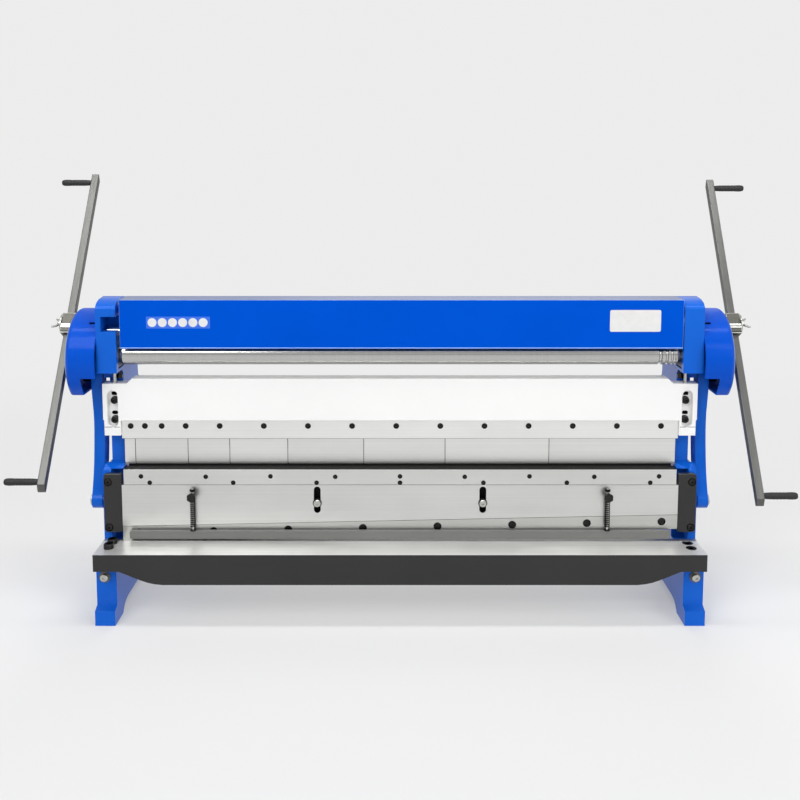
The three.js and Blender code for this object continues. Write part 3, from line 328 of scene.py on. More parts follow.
def slab(outline, axes, start, stop):
    """An outline pulled along one axis. axes names the outline's two axes and the one it is pulled along."""
    shape = bmesh.new()
    across, up, along = axes
    loops = [[shape.verts.new(across * a + up * b + along * c) for a, b in outline] for c in (start, stop)]
    for loop in loops:
        shape.faces.new(loop)
    for i in range(len(outline)):
        j = (i + 1) % len(outline)
        shape.faces.new((loops[0][i], loops[0][j], loops[1][j], loops[1][i]))
    bmesh.ops.recalc_face_normals(shape, faces=shape.faces)
    return shape


def block(low, high):
    shape = bmesh.new()
    bmesh.ops.create_cube(shape, size=1)
    low, high = Vector(low), Vector(high)
    bmesh.ops.scale(shape, vec=high - low, verts=shape.verts)
    bmesh.ops.translate(shape, vec=(low + high) / 2, verts=shape.verts)
    return shape


def side_block(sign, low, high):
    """A block on one side of the machine, whose x is given from the middle outwards."""
    xs = sorted((sign * low[0], sign * high[0]))
    return block((xs[0], *low[1:]), (xs[1], *high[1:]))


def plate_outline(low, high, corner, steps=5):
    """A rectangle with round corners."""
    middle = [(a + b) / 2 for a, b in zip(low, high)]
    points = []
    for k, at in enumerate(((high[0], high[1]), (low[0], high[1]), (low[0], low[1]), (high[0], low[1]))):
        centre = [a - math.copysign(corner, a - b) for a, b in zip(at, middle)]
        for i in range(steps + 1):
            angle = (k + i / steps) * math.pi / 2
            points.append((centre[0] + corner * math.cos(angle), centre[1] + corner * math.sin(angle)))
    return points


def ease(shape, width, steps=2, sharper=30, least=0.0, wanted=None):
    """Rounds the edges that are sharper than that many degrees, between faces of at least that area."""
    edges = [
        edge
        for edge in shape.edges
        if edge.is_manifold
        and edge.calc_face_angle(0) > math.radians(sharper)
        and min(face.calc_area() for face in edge.link_faces) >= least
        and (wanted is None or wanted(edge))
    ]
    bmesh.ops.bevel(
        shape, geom=edges, offset=width, segments=steps, profile=0.5, affect="EDGES", clamp_overlap=True
    )
    return shape


def moved(shape, matrix):
    bmesh.ops.transform(shape, matrix=matrix, verts=shape.verts)
    return shape


def merge(shape, other):
    """Puts the other mesh beside the first."""
    mesh = bpy.data.meshes.new("part")
    other.to_mesh(mesh)
    other.free()
    shape.from_mesh(mesh)
    bpy.data.meshes.remove(mesh)
    return shape


def combined(shape, tool, how="DIFFERENCE"):
    """The shape with the tool cut from it, or joined to it."""
    made = []
    for name, source in (("work", shape), ("tool", tool)):
        bmesh.ops.recalc_face_normals(source, faces=source.faces)
        mesh = bpy.data.meshes.new(name)
        source.to_mesh(mesh)
        source.free()
        made.append(placed(name, mesh))
    step = made[0].modifiers.new("boolean", "BOOLEAN")
    step.operation = how
    step.solver = "EXACT"
    step.object = made[1]
    result = bmesh.new()
    result.from_object(made[0], bpy.context.evaluated_depsgraph_get())
    for thing in made:
        bpy.data.meshes.remove(thing.data)
    return result


def made_whole(shape):
    """Joins the faces that lie in one plane."""
    bmesh.ops.dissolve_limit(shape, angle_limit=FLAT, verts=shape.verts, edges=shape.edges)
    return shape


def copy_of(node):
    """The node's own solid, in millimetres, with its flat faces made whole."""
    shape = bmesh.new()
    shape.from_mesh(frame["nodes"][node].data)
    bmesh.ops.scale(shape, vec=(1 / MM,) * 3, verts=shape.verts)
    bmesh.ops.remove_doubles(shape, verts=shape.verts, dist=WELD)
    return made_whole(shape)


def span(node):
    low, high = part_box(node)
    return low / MM, high / MM


def middle_of(low, high):
    """The middle of the box in Y and Z, at the middle of the machine."""
    return (0, (low.y + high.y) / 2, (low.z + high.z) / 2)


def centre_of(face):
    """The middle of a finished piece's face, in millimetres."""
    return face.calc_center_median() / MM


# A face leans a way when its direction has the first share of it, and looks that way when it has the second
LEANS, LOOKS = 0.2, 0.9


def piece(name, shape, material, body, slot, nodes=(), smooth=32, others=(), paint=None):
    """Makes the mesh a piece of the machine. paint gives the number of a face's material."""
    bmesh.ops.scale(shape, vec=(MM,) * 3, verts=shape.verts)
    bmesh.ops.recalc_face_normals(shape, faces=shape.faces)
    if paint:
        for face in shape.faces:
            face.material_index = paint(face)
    mesh = bpy.data.meshes.new(name)
    shape.to_mesh(mesh)
    shape.free()
    for finish in (material, *others):
        mesh.materials.append(finish)
    mesh.shade_smooth()
    mesh.set_sharp_from_angle(angle=math.radians(smooth))
    thing = placed(name, mesh)
    even = thing.modifiers.new("even_shading", "WEIGHTED_NORMAL")
    even.keep_sharp = True
    if body:
        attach(thing, body)
    if nodes:
        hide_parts(*nodes)
    return thing


def in_place_of(node, shape, material, smooth=32, **rest):
    """Makes the mesh a piece that stands for the node."""
    return piece(f"{node}_finished", shape, material, BODY_OF[node], SLOT_OF[node], [node], smooth, **rest)


def dressed(node, material, width, steps=2, least=0.0, sharper=30, smooth=32, **rest):
    """A node's own shape with its edges eased, standing for the node."""
    return in_place_of(node, ease(copy_of(node), width, steps, sharper, least), material, smooth, **rest)


# What the heads of screws have in common, as shares of their radius or height
CAP_EDGE, SOCKET_DEPTH = 0.12, 0.55
HEX_SIDE, HEX_TOP = 0.8, 0.82
DISC_EDGE = 0.2


def cap_screw(shape, at, axis, radius, height, socket, facets=24):
    """A socket head, standing on a point of the surface."""
    edge = radius * CAP_EDGE
    floor = height - height * SOCKET_DEPTH
    profile = [(0, 0), (0, radius), (height - edge, radius), (height, radius - edge)]
    profile += [(height, socket, True), (floor, socket, True), (floor, 0)]
    return turned(shape, profile, at, axis, facets)


def hex_head(shape, at, axis, radius, height, facets=24):
    profile = [(0, 0), (0, radius, True), (height * HEX_SIDE, radius, True)]
    profile += [(height, radius * HEX_TOP), (height, 0)]
    return turned(shape, profile, at, axis, facets)


def disc(shape, at, axis, radius, height, facets=32):
    edge = min(radius, height) * DISC_EDGE
    profile = [(0, 0), (0, radius), (height - edge, radius), (height, radius - edge), (height, 0)]
    return turned(shape, profile, at, axis, facets)


def bores(places, axis, radius, depth, above=2):
    """Round holes of one depth, as a tool that reaches a little above the surface."""
    tool = bmesh.new()
    for at in places:
        turned(tool, rod(radius, -depth, above), at, axis)
    return tool


# How far beyond a bore's mouth, floor and wall the middle of one of its faces may lie
MOUTH_SLACK, FLOOR_SLACK, WALL_SLACK = -0.05, 1, 0.4


def counterbored(shape, places, bore):
    """The shape with bores into its front, and what gives 1 for the faces inside them, which get painted
    shade.
    """

    def inside(face):
        middle = centre_of(face)
        for place in places:
            off = middle - place
            along = off.dot(-Y)
            across = (off + Y * along).length
            if -bore.depth - FLOOR_SLACK < along < MOUTH_SLACK and across < bore.radius + WALL_SLACK:
                return 1
        return 0

    return combined(shape, bores(places, -Y, bore.radius, bore.depth)), inside


# A sunk screw's head, as shares of its bore's sizes, and how deep its foot lies in the bore's floor
SUNK = Sizes(radius=0.8, height=0.72, socket=0.38, seat=0.1)


def sunk_screws(name, places, bore, body):
    """Socket heads that stand a little below the face, at the foot of their counterbores."""
    screws = bmesh.new()
    radius, height, socket = bore.radius * SUNK.radius, bore.depth * SUNK.height, bore.radius * SUNK.socket
    for at in places:
        cap_screw(screws, at + Y * (bore.depth - SUNK.seat), -Y, radius, height, socket, 32)
    piece(name, screws, SCREW, body, "black_steel")


# The frames and what is bolted to them

CASTING = Sizes(faces=(662, 709), near=0.2, edge=3.2, least=150)
# A washer, disc, stud or nut is given by radius and height, and a socket head by radius, height and socket
LEG_BOLT = Sizes(at=(689, -150, 110.5), washer=(13.5, 2.4), head=(9, 6.5, 4.8))


def on_outline(edge):
    """Picks the outer and inner edges of a frame, not the rims of its bores."""
    return all(any(abs(abs(v.co.x) - x) < CASTING.near for x in CASTING.faces) for v in edge.verts)


def make_frames():
    for side, _ in SIDES:
        node = f"frame_{side}"
        shape = ease(copy_of(node), CASTING.edge, 3, 30, CASTING.least, on_outline)
        in_place_of(node, shape, CAST_BLUE, 40)

    bolts = bmesh.new()
    washers = bmesh.new()
    for _, sign in SIDES:
        at = Vector((sign * LEG_BOLT.at[0], *LEG_BOLT.at[1:]))
        disc(washers, at, -Y, *LEG_BOLT.washer, 40)
        cap_screw(bolts, at - Y * LEG_BOLT.washer[1], -Y, *LEG_BOLT.head, 36)
    piece("table_bolt_washers", washers, DRAWN, "frame", "plain_steel")
    piece("table_bolts", bolts, PLATED, "frame", "plain_steel")


GUIDE = Sizes(corner=7, edge=1.6, rubbed=0.6)
GUIDE_BORE = Sizes(x=693, heights=(318, 207), radius=9.5, depth=5.5)
GUIDE_SCREW = Sizes(seat=5.4, head=(7.4, 6.6, 3.8))


def make_guide_plates():
    for side, sign in SIDES:
        node = f"guide_plate_{side}"
        low, high = span(node)
        outline = plate_outline((low.x, low.z), (high.x, high.z), GUIDE.corner)
        shape = ease(slab(outline, (X, Z, Y), low.y, high.y), GUIDE.edge, 3, 50)
        places = [Vector((sign * GUIDE_BORE.x, low.y, z)) for z in GUIDE_BORE.heights]
        shape, well = counterbored(shape, places, GUIDE_BORE)

        def rubbed(face):
            # Painted highlight: the faces that look up get bare drawn steel, to shine as a lit top edge. The
            # bores get painted shade.
            return well(face) or (2 if face.normal.z > GUIDE.rubbed else 0)

        in_place_of(node, shape, GREY, others=[SHADE, DRAWN], paint=rubbed)
        screws = bmesh.new()
        for at in places:
            cap_screw(screws, at + Y * GUIDE_SCREW.seat, -Y, *GUIDE_SCREW.head, 36)
        piece(f"guide_plate_screws_{side}", screws, SCREW, "frame", "black_steel")


TABLE = Sizes(apron=18, rib=20, plate=28, shoulder=139.5, edge=1.6, near=0.1, skin=2)
# The block that makes each end of the table solid
TABLE_END = Sizes(start=645, inset=9, under_shoulder=5, under_top=14, short=0.01)
# What is cut from under each end, from the side to where the full depth begins
BOW = Sizes(side=720, curve=((597, 119.6), (580, 113.6), (563, 109.8)), foot=545, low=(540, 60), past=20)
TABLE_BORE = Sizes(x=678, ys=(-120, -149), radius=12.4, depth=11)
# Side, depth of the foot, and head. The left ones stand on the table, and the right ones in their bores
TABLE_SCREWS = ((-1, 0.2, (11.6, 11.5, 6)), (1, 10.9, (11.2, 10, 6)))


def make_table():
    """A ribbed casting with a ground top. Its apron in front and its rib behind are cut away at both ends."""
    low, high = span("work_table")
    foot, top, under_top = low.z, high.z, high.z - TABLE.plate
    front, back = low.y, high.y
    apron, rib = front + TABLE.apron, back - TABLE.rib
    section = [(front, top), (front, foot), (apron, foot), (apron, under_top)]
    section += [(rib, under_top), (rib, foot), (back, foot), (back, top)]
    shape = slab(section, (Y, Z, X), low.x, high.x)
    near = (TABLE_END.start, front + TABLE_END.inset, TABLE.shoulder - TABLE_END.under_shoulder)
    far = (high.x - TABLE_END.short, back - TABLE_END.inset, top - TABLE_END.under_top)
    bow = [(BOW.side, TABLE.shoulder), (TABLE_END.start, TABLE.shoulder), *BOW.curve]
    bow += [(BOW.foot, foot), BOW.low, (BOW.side, BOW.low[1])]
    for _, sign in SIDES:
        shape = combined(shape, side_block(sign, near, far), "UNION")
        under = [(sign * x, z) for x, z in bow]
        shape = combined(shape, slab(under, (X, Z, Y), front - BOW.past, back + BOW.past))
    made_whole(shape)

    def outer(edge):
        # The long edges that the eye meets: round the front face and along the top's ends
        points = [v.co for v in edge.verts]
        on_front = all(abs(p.y - front) < TABLE.near for p in points)
        on_end = all(abs(abs(p.x) - high.x) < TABLE.near and abs(p.z - top) < TABLE.near for p in points)
        return on_front or on_end

    shape = ease(shape, TABLE.edge, 3, 20, 0, outer)
    holes = [Vector((TABLE_BORE.x, y, top)) for y in TABLE_BORE.ys]
    shape = combined(shape, bores(holes, Z, TABLE_BORE.radius, TABLE_BORE.depth))

    def ground_on_top(face):
        return 1 if face.normal.z > LOOKS and centre_of(face).z > top - TABLE.skin else 0

    in_place_of("work_table", shape, GREY, others=[TABLE_STEEL], paint=ground_on_top)
    screws = bmesh.new()
    for y in TABLE_BORE.ys:
        for sign, depth, head in TABLE_SCREWS:
            cap_screw(screws, (sign * TABLE_BORE.x, y, top - depth), Z, *head)
    piece("table_end_screws", screws, SCREW, "frame", "black_steel")
    dressed("lower_blade", BLADE_STEEL, 0.5)


CRANK_Z = 684
# open is how far the room inside runs out through the open side, and past how far a cut does
COVER = Sizes(wall=4, cone=8, edge=3.4, open=5, past=9, facets=120)
WINDOW = Sizes(top=572, side=745)
# Its radius, and how far it is cut inwards and outwards from the flat end
SHAFT_HOLE = (14, 20, 20)
COVER_SLOT = Sizes(front=-90, back=-40, low=694, high=698, depth=22)
RIM = Sizes(low=0.72, high=0.98, near=3)


def make_gear_covers():
    """A drum with a coned edge and a flat foot, open towards the frame, with a window over the arm's head."""
    for side, sign in SIDES:
        node = f"gear_cover_{side}"
        low, high = span(node)
        near, far = sorted((abs(low.x), abs(high.x)))
        radius, floor = (high.y - low.y) / 2, low.z
        centre = Vector((0, 0, high.z - radius))
        wide = radius * 1.5
        cone = [(near, radius), (far - COVER.cone, radius), (far, radius - COVER.cone), (far, 0)]
        cone = [(near, 0), *rounded(cone, COVER.edge, 4)]
        shape = turned(bmesh.new(), cone, centre, X * sign, COVER.facets)
        shape = combined(shape, block((-far - wide, -wide, floor - wide), (far + wide, wide, floor)))
        start = near - COVER.past
        window = side_block(sign, (start, -wide, floor - wide), (WINDOW.side, wide, WINDOW.top))
        shape = combined(shape, window)
        shaft = [Vector((sign * far, 0, CRANK_Z))]
        shape = combined(shape, bores(shaft, X * sign, *SHAFT_HOLE))
        stop = (near + COVER_SLOT.depth, COVER_SLOT.back, COVER_SLOT.high)
        shape = combined(shape, side_block(sign, (start, COVER_SLOT.front, COVER_SLOT.low), stop))
        inner = [(a - COVER.wall, max(0, r - COVER.wall)) for a, r in cone[1:]]
        inner = [(near - COVER.open, 0), (near - COVER.open, inner[0][1]), *inner[1:]]
        room = turned(bmesh.new(), inner, centre, X * sign, COVER.facets)
        below = block((-far - wide, -wide, floor - wide), (far + wide, wide, floor + COVER.wall))
        shape = made_whole(combined(shape, combined(room, below)))

        def rim(face):
            # Painted highlight: pale blue on the edge round the flat end
            off = centre_of(face) - centre
            out = math.hypot(off.y, off.z)
            on_edge = abs(out - radius + COVER.cone) < RIM.near and abs(off.x) > far - RIM.near
            return 1 if on_edge and RIM.low < abs(face.normal.x) < RIM.high else 0

        in_place_of(node, shape, COVER_BLUE, 35, others=[HIGHLIGHT_BLUE], paint=rim)


FOLD = Sizes(depth=2.5, flat=0.97)
HEM = Sizes(radius=2.3, behind=2.1)
PLATE = Sizes(low=(487.5, 681.5), high=(606, 732.6), corner=4, thick=0.8, edge=0.25, steps=2)
STRIP = Sizes(low=(-589.7, 689), high=(-441, 717), corner=1.5, thick=0.3, edge=0.1, steps=1)
DISCS = Sizes(count=6, first=-575.7, pitch=23.7, z=703.2, disc=(10.4, 0.4))


def film(sizes, front):
    """A flat piece with round corners, stuck on the top cover's front."""
    outline = plate_outline(sizes.low, sizes.high, sizes.corner)
    return ease(slab(outline, (X, Z, Y), front - sizes.thick, front), sizes.edge, sizes.steps, 50)


def make_top_cover():
    low, high = span("top_cover")
    front = low.y

    def painted_light_faces(face):
        # Painted highlight: pale blue on the folds round the front face. Painted sheen: a greyer, glossier
        # blue on the faces that look up
        near = centre_of(face).y < front + FOLD.depth and LEANS < -face.normal.y < FOLD.flat
        return 1 if near else 2 if face.normal.z > LOOKS else 0

    dressed("top_cover", SHEET_BLUE, 1.1, 3, others=[HIGHLIGHT_BLUE, SHEEN_BLUE], paint=painted_light_faces)
    # Painted highlight: the hem is pale blue all over
    at = (low.x, front + HEM.behind, low.z + HEM.radius)
    hem = turned(bmesh.new(), rod(HEM.radius, 0, high.x - low.x), at, X, 24)
    piece("top_cover_hem", hem, HIGHLIGHT_BLUE, "frame", "blue_enamel")
    piece("blank_label", film(PLATE, front), LABEL, "frame", "white_enamel")
    piece("disc_strip", film(STRIP, front), TINT, "frame", "blue_enamel")
    discs = bmesh.new()
    for i in range(DISCS.count):
        at = (DISCS.first + i * DISCS.pitch, front - STRIP.thick, DISCS.z)
        disc(discs, at, -Y, *DISCS.disc, 48)
    piece("plain_discs", discs, LABEL, "frame", "white_enamel")


# The shear: ram, blade, hold-down bar

SLOT = Sizes(half=9, low=242, high=309, front=0.5, back=24)
SLOT_BOLT = Sizes(x=196.5, z=268)
# Profiles out from the ram's face: the washer with its shank in the slot, and the head that stands on it
SLOT_WASHER = ((-20, 0), (-20, 6), (0, 6), (0, 10.6), (1.8, 10.6), (2.2, 10.2), (2.2, 0))
SLOT_HEAD = ((2.2, 0), (2.2, 8.6), (5.4, 8.6), (6.6, 7.6), (6.6, 3.4, True), (3.4, 3.4, True), (3.4, 0))


def make_ram():
    front = span("ram")[0].y

    # Painted shade: the faces inside the slots are dark
    def in_slot(face):
        middle = centre_of(face)
        beside = abs(abs(middle.x) - SLOT_BOLT.x) < SLOT.half and SLOT.low < middle.z < SLOT.high
        return 1 if beside and front + SLOT.front < middle.y < front + SLOT.back else 0

    dressed("ram", GROUND, 0.8, 2, 60, others=[SHADE], paint=in_slot)
    bolts = bmesh.new()
    washers = bmesh.new()
    for _, sign in SIDES:
        at = Vector((sign * SLOT_BOLT.x, front, SLOT_BOLT.z))
        turned(washers, SLOT_WASHER, at, -Y, 40)
        turned(bolts, SLOT_HEAD, at, -Y, 40)
    piece("ram_slot_washers", washers, SCREW, "ram", "black_steel")
    piece("ram_slot_bolts", bolts, PLATED, "ram", "plain_steel")


# The blade's screws follow its top edge, which rises from the left end
BLADE = Sizes(left_z=210.7, first=89.3, pitch=177.74, drop=16.3, flat=0.95)
BLADE_BORE = Sizes(radius=9.6, depth=6.5)


def make_upper_blade():
    low, high = span("upper_blade")
    rake = (high.z - BLADE.left_z) / (high.x - low.x)
    places = []
    for i in range(-4, 4):
        x = BLADE.first + i * BLADE.pitch
        places.append(Vector((x, low.y, BLADE.left_z + rake * (x - low.x) - BLADE.drop)))
    shape, well = counterbored(ease(copy_of("upper_blade"), 0.5), places, BLADE_BORE)

    # Painted shade: the bores and the eased faces that lean are dark
    def shaded(face):
        return well(face) or (1 if LEANS < abs(face.normal.z) < BLADE.flat else 0)

    in_place_of("upper_blade", shape, BLADE_STEEL, others=[SHADE], paint=shaded)
    sunk_screws("upper_blade_screws", places, BLADE_BORE, "ram")


# Nine screws above, every other one a little lower, and seven below
DIE = Sizes(upper_pitch=153.4, upper_z=333, lower_pitch=197.7, lower_z=317.6, land=12, up=0.5)
DIE_BORE = Sizes(radius=5.6, depth=5)


def make_v_die():
    low, high = span("v_die")
    places = [Vector((i * DIE.upper_pitch, low.y, DIE.upper_z - (i % 2))) for i in range(-4, 5)]
    places += [Vector((i * DIE.lower_pitch, low.y, DIE.lower_z)) for i in range(-3, 4)]
    shape, well = counterbored(ease(copy_of("v_die"), 0.8), places, DIE_BORE)

    def shaded(face):
        # Painted shade: the land behind the front edge, the groove, the faces that look down and the bores
        # are dark
        top = centre_of(face).z > high.z - DIE.land
        return well(face) or (1 if (top and face.normal.z > DIE.up) or face.normal.z < -LEANS else 0)

    in_place_of("v_die", shape, GROUND, others=[SHADE], paint=shaded)
    sunk_screws("v_die_screws", places, DIE_BORE, "ram")


HOLD_DOWN = Sizes(x=491, top=204, thick=10, back=11, corner=4, edge=0.8, rod=2.5)
ROD_WASHER, ROD_BUSH = (7.4, 1.2), (6.8, 4.4)


def make_hold_down():
    low, high = span("hold_down_bar")
    top, back = HOLD_DOWN.top, low.y + HOLD_DOWN.back
    middle = back - HOLD_DOWN.thick / 2
    outline = plate_outline((low.x, low.z), (high.x, top), HOLD_DOWN.corner)
    bar = slab(outline, (X, Z, Y), back - HOLD_DOWN.thick, back)
    in_place_of("hold_down_bar", ease(bar, HOLD_DOWN.edge, 2, 50), BAR_GREY)
    rods = bmesh.new()
    washers = bmesh.new()
    bushes = bmesh.new()
    for side, sign in SIDES:
        at = Vector((sign * HOLD_DOWN.x, middle, top))
        disc(rods, at, Z, HOLD_DOWN.rod, high.z - top)
        disc(washers, at, Z, *ROD_WASHER)
        bolt_top = at + Z * (span(f"spring_bolt_{side}")[1].z - top)
        hex_head(bushes, bolt_top, Z, *ROD_BUSH)
    piece("hold_down_rods", rods, PLATED, "hold_down", "grey_enamel")
    piece("hold_down_washers", washers, BLACK, "hold_down", "black_steel")
    piece("rod_bushes", bushes, BLACK, "ram", "black_steel")
    for side, sign in SIDES:
        dressed(f"spring_bolt_{side}", SCREW, 0.5, 2, 20, 40)
        make_spring(f"hold_down_spring_{side}", Vector((sign * HOLD_DOWN.x, middle, 0)))


COIL, WIRE, TURNS, COIL_STEPS, WIRE_SIDES = 5.8, 2, 14.25, 24, 10


def make_spring(node, centre):
    """A wound spring whose ends run straight for one wire's width."""
    low, high = span(node)
    rings = round(TURNS * COIL_STEPS)
    first, last = low.z + WIRE, high.z - WIRE
    path = [Vector((COIL, 0, low.z))]
    for i in range(rings + 1):
        angle = 2 * math.pi * i / COIL_STEPS
        up = first + (last - first) * i / rings
        path.append(Vector((COIL * math.cos(angle), COIL * math.sin(angle), up)))
    path.append(Vector((path[-1].x, path[-1].y, high.z)))
    shape = bmesh.new()
    loops = []
    for i, point in enumerate(path):
        along = path[min(i + 1, len(path) - 1)] - path[max(i - 1, 0)]
        if i in (0, len(path) - 1):
            along = Z
        out = Vector((point.x, point.y, 0)).normalized()
        side_way = along.normalized().cross(out).normalized()
        out = side_way.cross(along.normalized())
        loop = []
        for k in range(WIRE_SIDES):
            angle = 2 * math.pi * k / WIRE_SIDES
            offset = out * math.cos(angle) + side_way * math.sin(angle)
            loop.append(shape.verts.new(centre + point + offset * WIRE / 2))
        loops.append(loop)
    for before, after in zip(loops, loops[1:]):
        for k in range(WIRE_SIDES):
            m = (k + 1) % WIRE_SIDES
            shape.faces.new((before[k], before[m], after[m], after[k]))
    shape.faces.new(loops[0])
    shape.faces.new(loops[-1])
    spring = piece(f"{node}_finished", shape, BLACK, None, "black_steel", [node], 60)
    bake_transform(spring)


# The finger brake

# A thin line is cut across each lug, and two holes above it
SCRIBED = Sizes(near=664, far=706, low=447.4, high=448.6, past=2, deep=1.4)
LUG_HOLE = Sizes(x=678.5, heights=(526.5, 480), half=7, down=4, up=5, corner=3.9, start=8, stop=24)
# Where the painted shade lies, in the holes and the cut line: out from the middle, behind the front, and up
DARK = ((668, (12.3, 30), (470, 540)), (662, (0.2, 2), (447, 449)))
LUG_BOLT = Sizes(x=677.5, behind=12, heights=(511.5, 465), washer=(9.4, 1.6), head=(8.2, 8.6, 4.4))
JACK = Sizes(at=(676.6, -66, 553), stud=(4.4, 29), nut=(6.8, 3.2))


def make_beam():
    front = span("upper_beam")[0].y
    lines = bmesh.new()
    holes = bmesh.new()
    for _, sign in SIDES:
        near = (SCRIBED.near, front - SCRIBED.past, SCRIBED.low)
        merge(lines, side_block(sign, near, (SCRIBED.far, front + SCRIBED.deep, SCRIBED.high)))
        x = sign * LUG_HOLE.x
        for z in LUG_HOLE.heights:
            low, high = (x - LUG_HOLE.half, z - LUG_HOLE.down), (x + LUG_HOLE.half, z + LUG_HOLE.up)
            outline = plate_outline(low, high, LUG_HOLE.corner)
            merge(holes, slab(outline, (X, Z, Y), front + LUG_HOLE.start, front + LUG_HOLE.stop))
    shape = ease(copy_of("upper_beam"), 2.2, 3, 30, 150)
    shape = combined(combined(shape, lines), holes)

    # Painted shade: the faces in the holes and the cut line are dark
    def deep(face):
        middle = centre_of(face)
        for out, (start, stop), (low, high) in DARK:
            if abs(middle.x) > out and front + start < middle.y < front + stop and low < middle.z < high:
                return 1
        return 0

    in_place_of("upper_beam", shape, WHITE, others=[SHADE], paint=deep)

    bolts = bmesh.new()
    studs = bmesh.new()
    for _, sign in SIDES:
        for z in LUG_BOLT.heights:
            at = Vector((sign * LUG_BOLT.x, front + LUG_BOLT.behind, z))
            disc(bolts, at, -Y, *LUG_BOLT.washer, 36)
            cap_screw(bolts, at - Y * LUG_BOLT.washer[1], -Y, *LUG_BOLT.head, 36)
        foot = Vector((sign * JACK.at[0], *JACK.at[1:]))
        disc(studs, foot, Z, *JACK.stud)
        hex_head(studs, foot, Z, *JACK.nut)
    piece("beam_bolts", bolts, SCREW, "beam", "black_steel")
    piece("beam_jack_studs", studs, PLATED, "beam", "plain_steel")


# The clamp bar's screws: eleven at one pitch from the right, and four closer ones at the left end
CLAMP = Sizes(count=11, last=620.8, pitch=104.97, left=(-509.8, -566.9, -606.8, -640.6), z=449)
CLAMP_BORE = Sizes(radius=7, depth=5.5)


def make_clamp_bar():
    front = span("finger_clamp_bar")[0].y
    xs = [CLAMP.last - i * CLAMP.pitch for i in range(CLAMP.count)] + list(CLAMP.left)
    places = [Vector((x, front, CLAMP.z)) for x in xs]
    shape, well = counterbored(ease(copy_of("finger_clamp_bar"), 0.8), places, CLAMP_BORE)

    # Painted shade: the bores and the faces that look down are dark
    def shaded(face):
        return well(face) or (1 if face.normal.z < -LEANS else 0)

    in_place_of("finger_clamp_bar", shape, BAR_STEEL, others=[SHADE], paint=shaded)
    sunk_screws("clamp_bar_screws", places, CLAMP_BORE, "beam")


JOINT = 0.3


def joint_faces(face):
    """Picks the ends, which get painted shade for the joint between two fingers, and the bevel at the foot,
    which gets painted light.
    """
    x, y, z = face.normal
    return 1 if abs(x) > JOINT else 2 if y < -JOINT and z < -JOINT else 0


def make_fingers():
    finish = {"others": [SHADE, BEVEL_PAINTED_LIGHT], "paint": joint_faces}
    for i in range(1, 9):
        dressed(f"bending_finger_{i}", FINGER_TONES[i % 3], 0.5, **finish)


# The drive: arms, eccentric shaft, cranks

# Where an arm's pin starts, has its head and stops, out from the machine's middle
PIN = Sizes(start=660.3, head=738.3, stop=742.8, radius=10, head_radius=14, edge=1.2)


def make_arms():
    head = [(PIN.head, PIN.radius), (PIN.head, PIN.head_radius), (PIN.stop, PIN.head_radius), (PIN.stop, 0)]
    profile = rounded([(PIN.start, 0), (PIN.start, PIN.radius), *head], PIN.edge)
    for side, sign in SIDES:
        dressed(f"connecting_arm_{side}", CAST_BLUE, 3.6, 3, 120, 30, 40)
        pin = f"connecting_arm_pin_{side}"
        in_place_of(pin, turned(bmesh.new(), profile, middle_of(*span(pin)), X * sign, 48), PLATED)


def make_eccentric():
    dressed("eccentric_shaft", DRAWN, 0.3, 1, 30)
    for side, _ in SIDES:
        dressed(f"bull_gear_{side}", BLACK, 0.3, 1, 20)
        dressed(f"crank_shaft_{side}", DRAWN, 0.3, 1, 30)


def tilted(side):
    """The frame of what sits on one crank's hub: on the shaft's axis, with Z from grip to grip."""
    low, high = span(f"crank_grip_{side}_top")
    top = (low + high) / 2
    low, high = span(f"crank_grip_{side}_bottom")
    bottom = (low + high) / 2
    up = top - bottom
    angle = math.atan2(-up.y, up.z)
    return Matrix.Translation((0, 0, CRANK_Z)) @ Matrix.Rotation(angle, 4, "X")


def make_cranks():
    for side, sign in SIDES:
        low, high = span(f"crank_hub_{side}")
        near, far = sorted((abs(low.x), abs(high.x)))
        stand = tilted(side)
        make_hub(side, sign, near, far, stand)
        dressed(f"crank_bar_{side}", DRAWN, 1.9, 3, 200)
        for place in ("top", "bottom"):
            make_grip(f"crank_grip_{side}_{place}", sign)
        make_wing_screw(f"wing_screw_{side}", sign, far, stand)


# Across and up from the shaft's axis. start and end are from the hub's near end, and stop from its far end
HUB = Sizes(half=20, low=-33, high=19, stop=4, edge=1.5, past=9, flat=0.995)
BEAD = Sizes(start=0.6, stop=4.2, z=-15, radius=22.6, half=5, shows=5.2, edge=1, reach=60)
FLANGE = Sizes(stop=4.5, z=-3, radius=25, edge=1.4)
BAR_SLOT = Sizes(start=9.2, end=27.8, half=9.3, reach=70)
SHAFT_BORE = Sizes(start=-5, end=9.4, radius=12.3)
TAP = Sizes(start=20, radius=5.3)
# Its heights are from the foot of the block
SPLIT = Sizes(start=-1, stop=5, front=-40, back=-15, low=3, high=4.6)
STOP_SCREW = Sizes(z=12, head=(3.4, 4.5))


